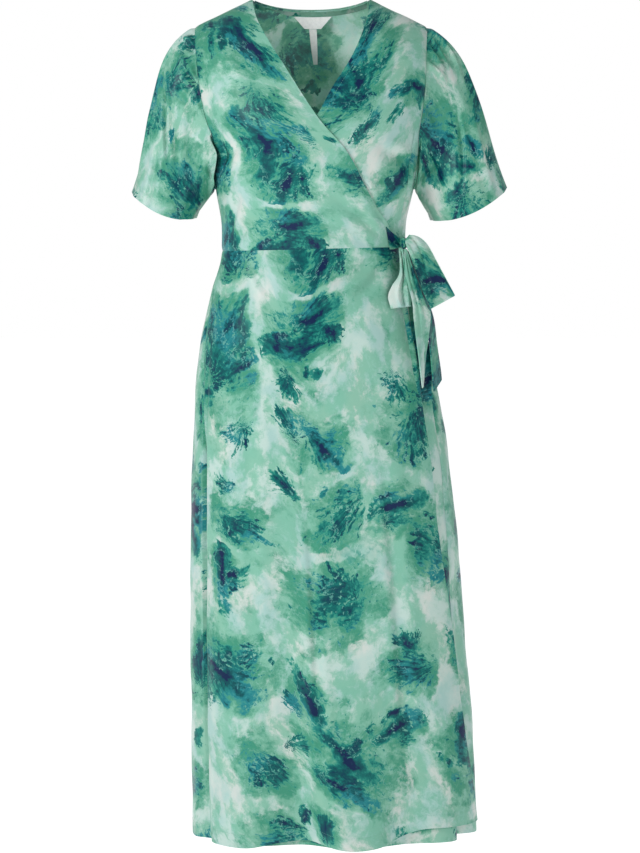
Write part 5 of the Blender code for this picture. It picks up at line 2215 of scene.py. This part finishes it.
@dataclass(frozen=True)
class Studio:
    """A pale floor, a pale surround and soft lamps, with the camera in front of the dress."""

    camera_place: Point = (0.0126, -5.0, -0.35)
    camera_aim: Point = (0.0126, 0.0, -0.5957)
    lens: float = 150.9
    floor_height: float = -1.46
    floor_reach: float = 40.0
    floor_white: Colour = srgb(255, 255, 255)
    floor_shade: Colour = srgb(253, 253, 253)
    floor_clouds: float = 0.8
    surround: Colour = (1.0, 1.0, 1.0, 1.0)
    surround_strength: float = 0.42
    lamps: tuple[Lamp, ...] = (
        Lamp("front_lamp", (-2.5, -2.3, 1.3), (0.0, 0.0, -0.5), 1.2, 82.0),
        Lamp("side_lamp", (1.8, -3.0, 0.2), (0.0, 0.0, -0.6), 1.4, 16.0),
    )

    def camera(self) -> None:
        """Set the camera."""
        data = bpy.data.cameras.new("camera")
        data.lens = self.lens
        data.clip_end = 200.0
        item = add_object("camera", data)
        face(item, self.camera_place, self.camera_aim)
        bpy.context.scene.camera = item

    def floor(self) -> None:
        """Lay the pale floor."""
        shade = Shade("pale_floor")
        place = shade.node("ShaderNodeTexCoord", {}, {}, "Object")
        cloudy = shade.noise(place, self.floor_clouds, 2.0)
        white = shade.blend(cloudy, self.floor_shade, self.floor_white)
        shade.surface(base_color=white, roughness=0.9, emission_color=white,
                      emission_strength=0.64)
        around = ((-1, -1), (1, -1), (1, 1), (-1, 1))
        corners = np.array([(x * self.floor_reach, y * self.floor_reach, self.floor_height)
                            for x, y in around])
        make_object("studio_floor", corners, np.array([[0, 1, 2, 3]]), (shade.material,))

    def build(self) -> None:
        """Set up the studio."""
        world = bpy.data.worlds.new("studio")
        world.use_nodes = True
        graph = Graph(world.node_tree)
        seen = graph.node("ShaderNodeLightPath", {}, {}, "Is Camera Ray")
        sky = world.node_tree.nodes["Background"]
        sky.inputs["Color"].default_value = self.surround
        strength = self.surround_strength
        graph.feed(sky.inputs["Strength"], strength + seen * (1.0 - strength))
        bpy.context.scene.world = world
        bpy.context.scene.view_settings.view_transform = "Standard"
        self.floor()
        self.camera()
        for lamp in self.lamps:
            lamp.build()


HOLLOW_UNDER_BOW = (Crease(27.0, -0.35, 27.0, -0.59, 0.01, -0.013),)
DRESS_CREASES = table(Crease, (
    (41.7, -0.335, 83.6, -0.275, 0.006, -0.0022, 0.004),
    (44.7, -0.342, 100.7, -0.315, 0.006, -0.0018, 0.003),
    (38.3, -0.32, 69.8, -0.235, 0.005, -0.0016),
    (20.0, -0.235, 58.0, -0.205, 0.008, -0.0022),
    (25.0, -0.17, 17.0, -0.335, 0.0046, -0.0024, 0.002),
    (160.0, -0.24, 125.0, -0.2, 0.008, -0.0015),
    (140.0, -0.06, 120.0, -0.13, 0.009, 0.0012),
    (150.0, -0.34, 120.0, -0.3, 0.007, -0.0016),
    (158.0, -0.33, 135.0, -0.265, 0.007, -0.0014),
    (40.0, -0.365, 75.0, -0.43, 0.008, -0.002),
    (42.0, -0.36, 95.0, -0.395, 0.007, -0.0016),
    (135.0, -0.36, 110.0, -0.42, 0.008, -0.0012),
    (96.8, -0.66, 93.8, -1.2, 0.004, -0.0022),
    (62.0, -0.6, 58.0, -1.1, 0.007, -0.002),
    (118.0, -0.5, 116.0, -0.95, 0.009, 0.0016),
    (154.0, -0.44, 155.0, -1.2, 0.004, -0.003),
    (270.0, -0.05, 268.0, -0.3, 0.01, -0.0014),
    (245.0, -0.12, 225.0, -0.26, 0.01, -0.002),
    (297.0, -0.11, 316.0, -0.25, 0.011, -0.0018),
    (225.0, -0.345, 262.0, -0.312, 0.007, -0.0018),
    (318.0, -0.35, 280.0, -0.318, 0.007, -0.002),
    (310.0, -0.372, 276.0, -0.42, 0.009, -0.0016),
    (232.0, -0.368, 258.0, -0.41, 0.008, -0.0014),
    (300.0, -0.45, 303.0, -1.1, 0.008, -0.0024),
    (243.0, -0.52, 246.0, -1.14, 0.008, -0.0022),
    (214.0, -0.43, 217.0, -0.98, 0.007, 0.0018),
    (332.0, -0.42, 336.0, -1.02, 0.008, -0.002),
))
RIGHT_SLEEVE_CREASES = table(Crease, (
    (0.035, 0.1, 0.125, -0.03, 0.0032, 0.0022),
    (0.075, 0.09, 0.17, -0.04, 0.0026, -0.0024),
    (0.08, 0.16, 0.215, -0.04, 0.004, 0.0026, 0.002),
    (0.13, 0.17, 0.235, -0.03, 0.0028, -0.0024),
    (0.15, 0.26, 0.27, -0.02, 0.0038, 0.002),
    (0.012, 0.22, 0.15, 0.4, 0.0044, 0.0022),
    (0.09, 0.3, 0.23, 0.68, 0.0046, -0.0024, 0.003),
    (0.3, 0.42, 0.42, 0.1, 0.006, -0.0026),
    (0.24, 0.2, 0.3, 0.8, 0.008, 0.0016),
    (0.13, 0.6, 0.17, 1.05, 0.007, -0.002),
    (0.02, 0.45, 0.05, 1.0, 0.008, 0.0018),
    (-0.05, 0.02, -0.1, 0.5, 0.005, -0.0024),
    (-0.12, 0.0, -0.15, 0.36, 0.0044, 0.0024),
    (-0.2, 0.15, -0.22, 0.85, 0.008, -0.0024),
    (-0.3, 0.4, -0.41, 0.1, 0.006, -0.0024),
))
LEFT_SLEEVE_CREASES = table(Crease, (
    (0.165, 0.36, 0.265, 0.88, 0.0044, -0.002, 0.002),
    (0.235, -0.06, 0.265, 0.28, 0.0034, -0.0022),
    (0.08, -0.05, 0.13, 0.24, 0.0038, -0.0026),
    (0.03, -0.04, 0.06, 0.36, 0.0044, 0.0024),
    (0.16, -0.04, 0.15, 0.22, 0.0034, 0.0022),
    (0.345, 0.04, 0.33, 0.72, 0.007, -0.0024, 0.003),
    (0.1, 0.5, 0.14, 1.0, 0.006, 0.0018),
    (0.415, 0.1, 0.3, 0.46, 0.0056, -0.002),
    (-0.06, 0.0, -0.09, 0.56, 0.005, -0.0026),
    (-0.14, 0.0, -0.17, 0.4, 0.0046, 0.0024),
    (-0.22, 0.15, -0.24, 0.9, 0.008, -0.0024),
    (-0.32, 0.42, -0.42, 0.12, 0.006, -0.0022),
))
RIGHT_CUFF = Cuff(-0.2506, -0.268, -0.16, -0.304, 0.066, 0.011, 0.004)
LEFT_CUFF = Cuff(0.274, -0.262, 0.167, -0.307, 0.06, 0.011, 0.004)
SLEEVE_ROUND = 0.4
SLEEVE_LENGTH = 0.2
DRESS_RADIUS = 0.15


def main() -> None:
    """Build the dress's looks and the studio."""
    form = DressForm()
    finishes = Finishes(
        PrintedCloth().build(),
        PrintedCloth(name="printed_cloth_reverse", reverse=True).build(),
        Thread("green_thread", srgb(112, 172, 150), srgb(78, 142, 124)).build(),
        WovenLabel().build(),
        Thread("white_thread", srgb(246, 246, 246), srgb(220, 220, 220)).build(),
        Stitching(),
    )
    drape = Drape(DRESS_CREASES, math.radians(1.0) * DRESS_RADIUS, 1.0, 360.0)
    bodice = Bodice(form, drape)
    bodice.build(finishes)
    for side, name, cuff, creases, cutting in (
        # The right sleeve is cut so that dark print lies at its underarm: painted shade for the gap
        # beside the bodice.
        (Side.RIGHT, "sleeve_right", RIGHT_CUFF, RIGHT_SLEEVE_CREASES, Cutting(1.16, 0.14)),
        (Side.LEFT, "sleeve_left", LEFT_CUFF, LEFT_SLEEVE_CREASES, Cutting(1.45, 0.62, -6.0)),
    ):
        sleeve_drape = Drape(creases, SLEEVE_ROUND, SLEEVE_LENGTH, 1.0)
        Sleeve(form, sleeve_drape, side, name, cuff, cutting).build(finishes)
    hollow = replace(drape, creases=HOLLOW_UNDER_BOW, wave_height=0.0)
    Skirt(form, drape, bodice, hollow).build(finishes)
    NeckInside(form).build(finishes)
    Bow(form).build(finishes)
    Studio().build()


if __name__ == "__main__":
    logging.basicConfig(level=logging.INFO, format="%(message)s")
    main()
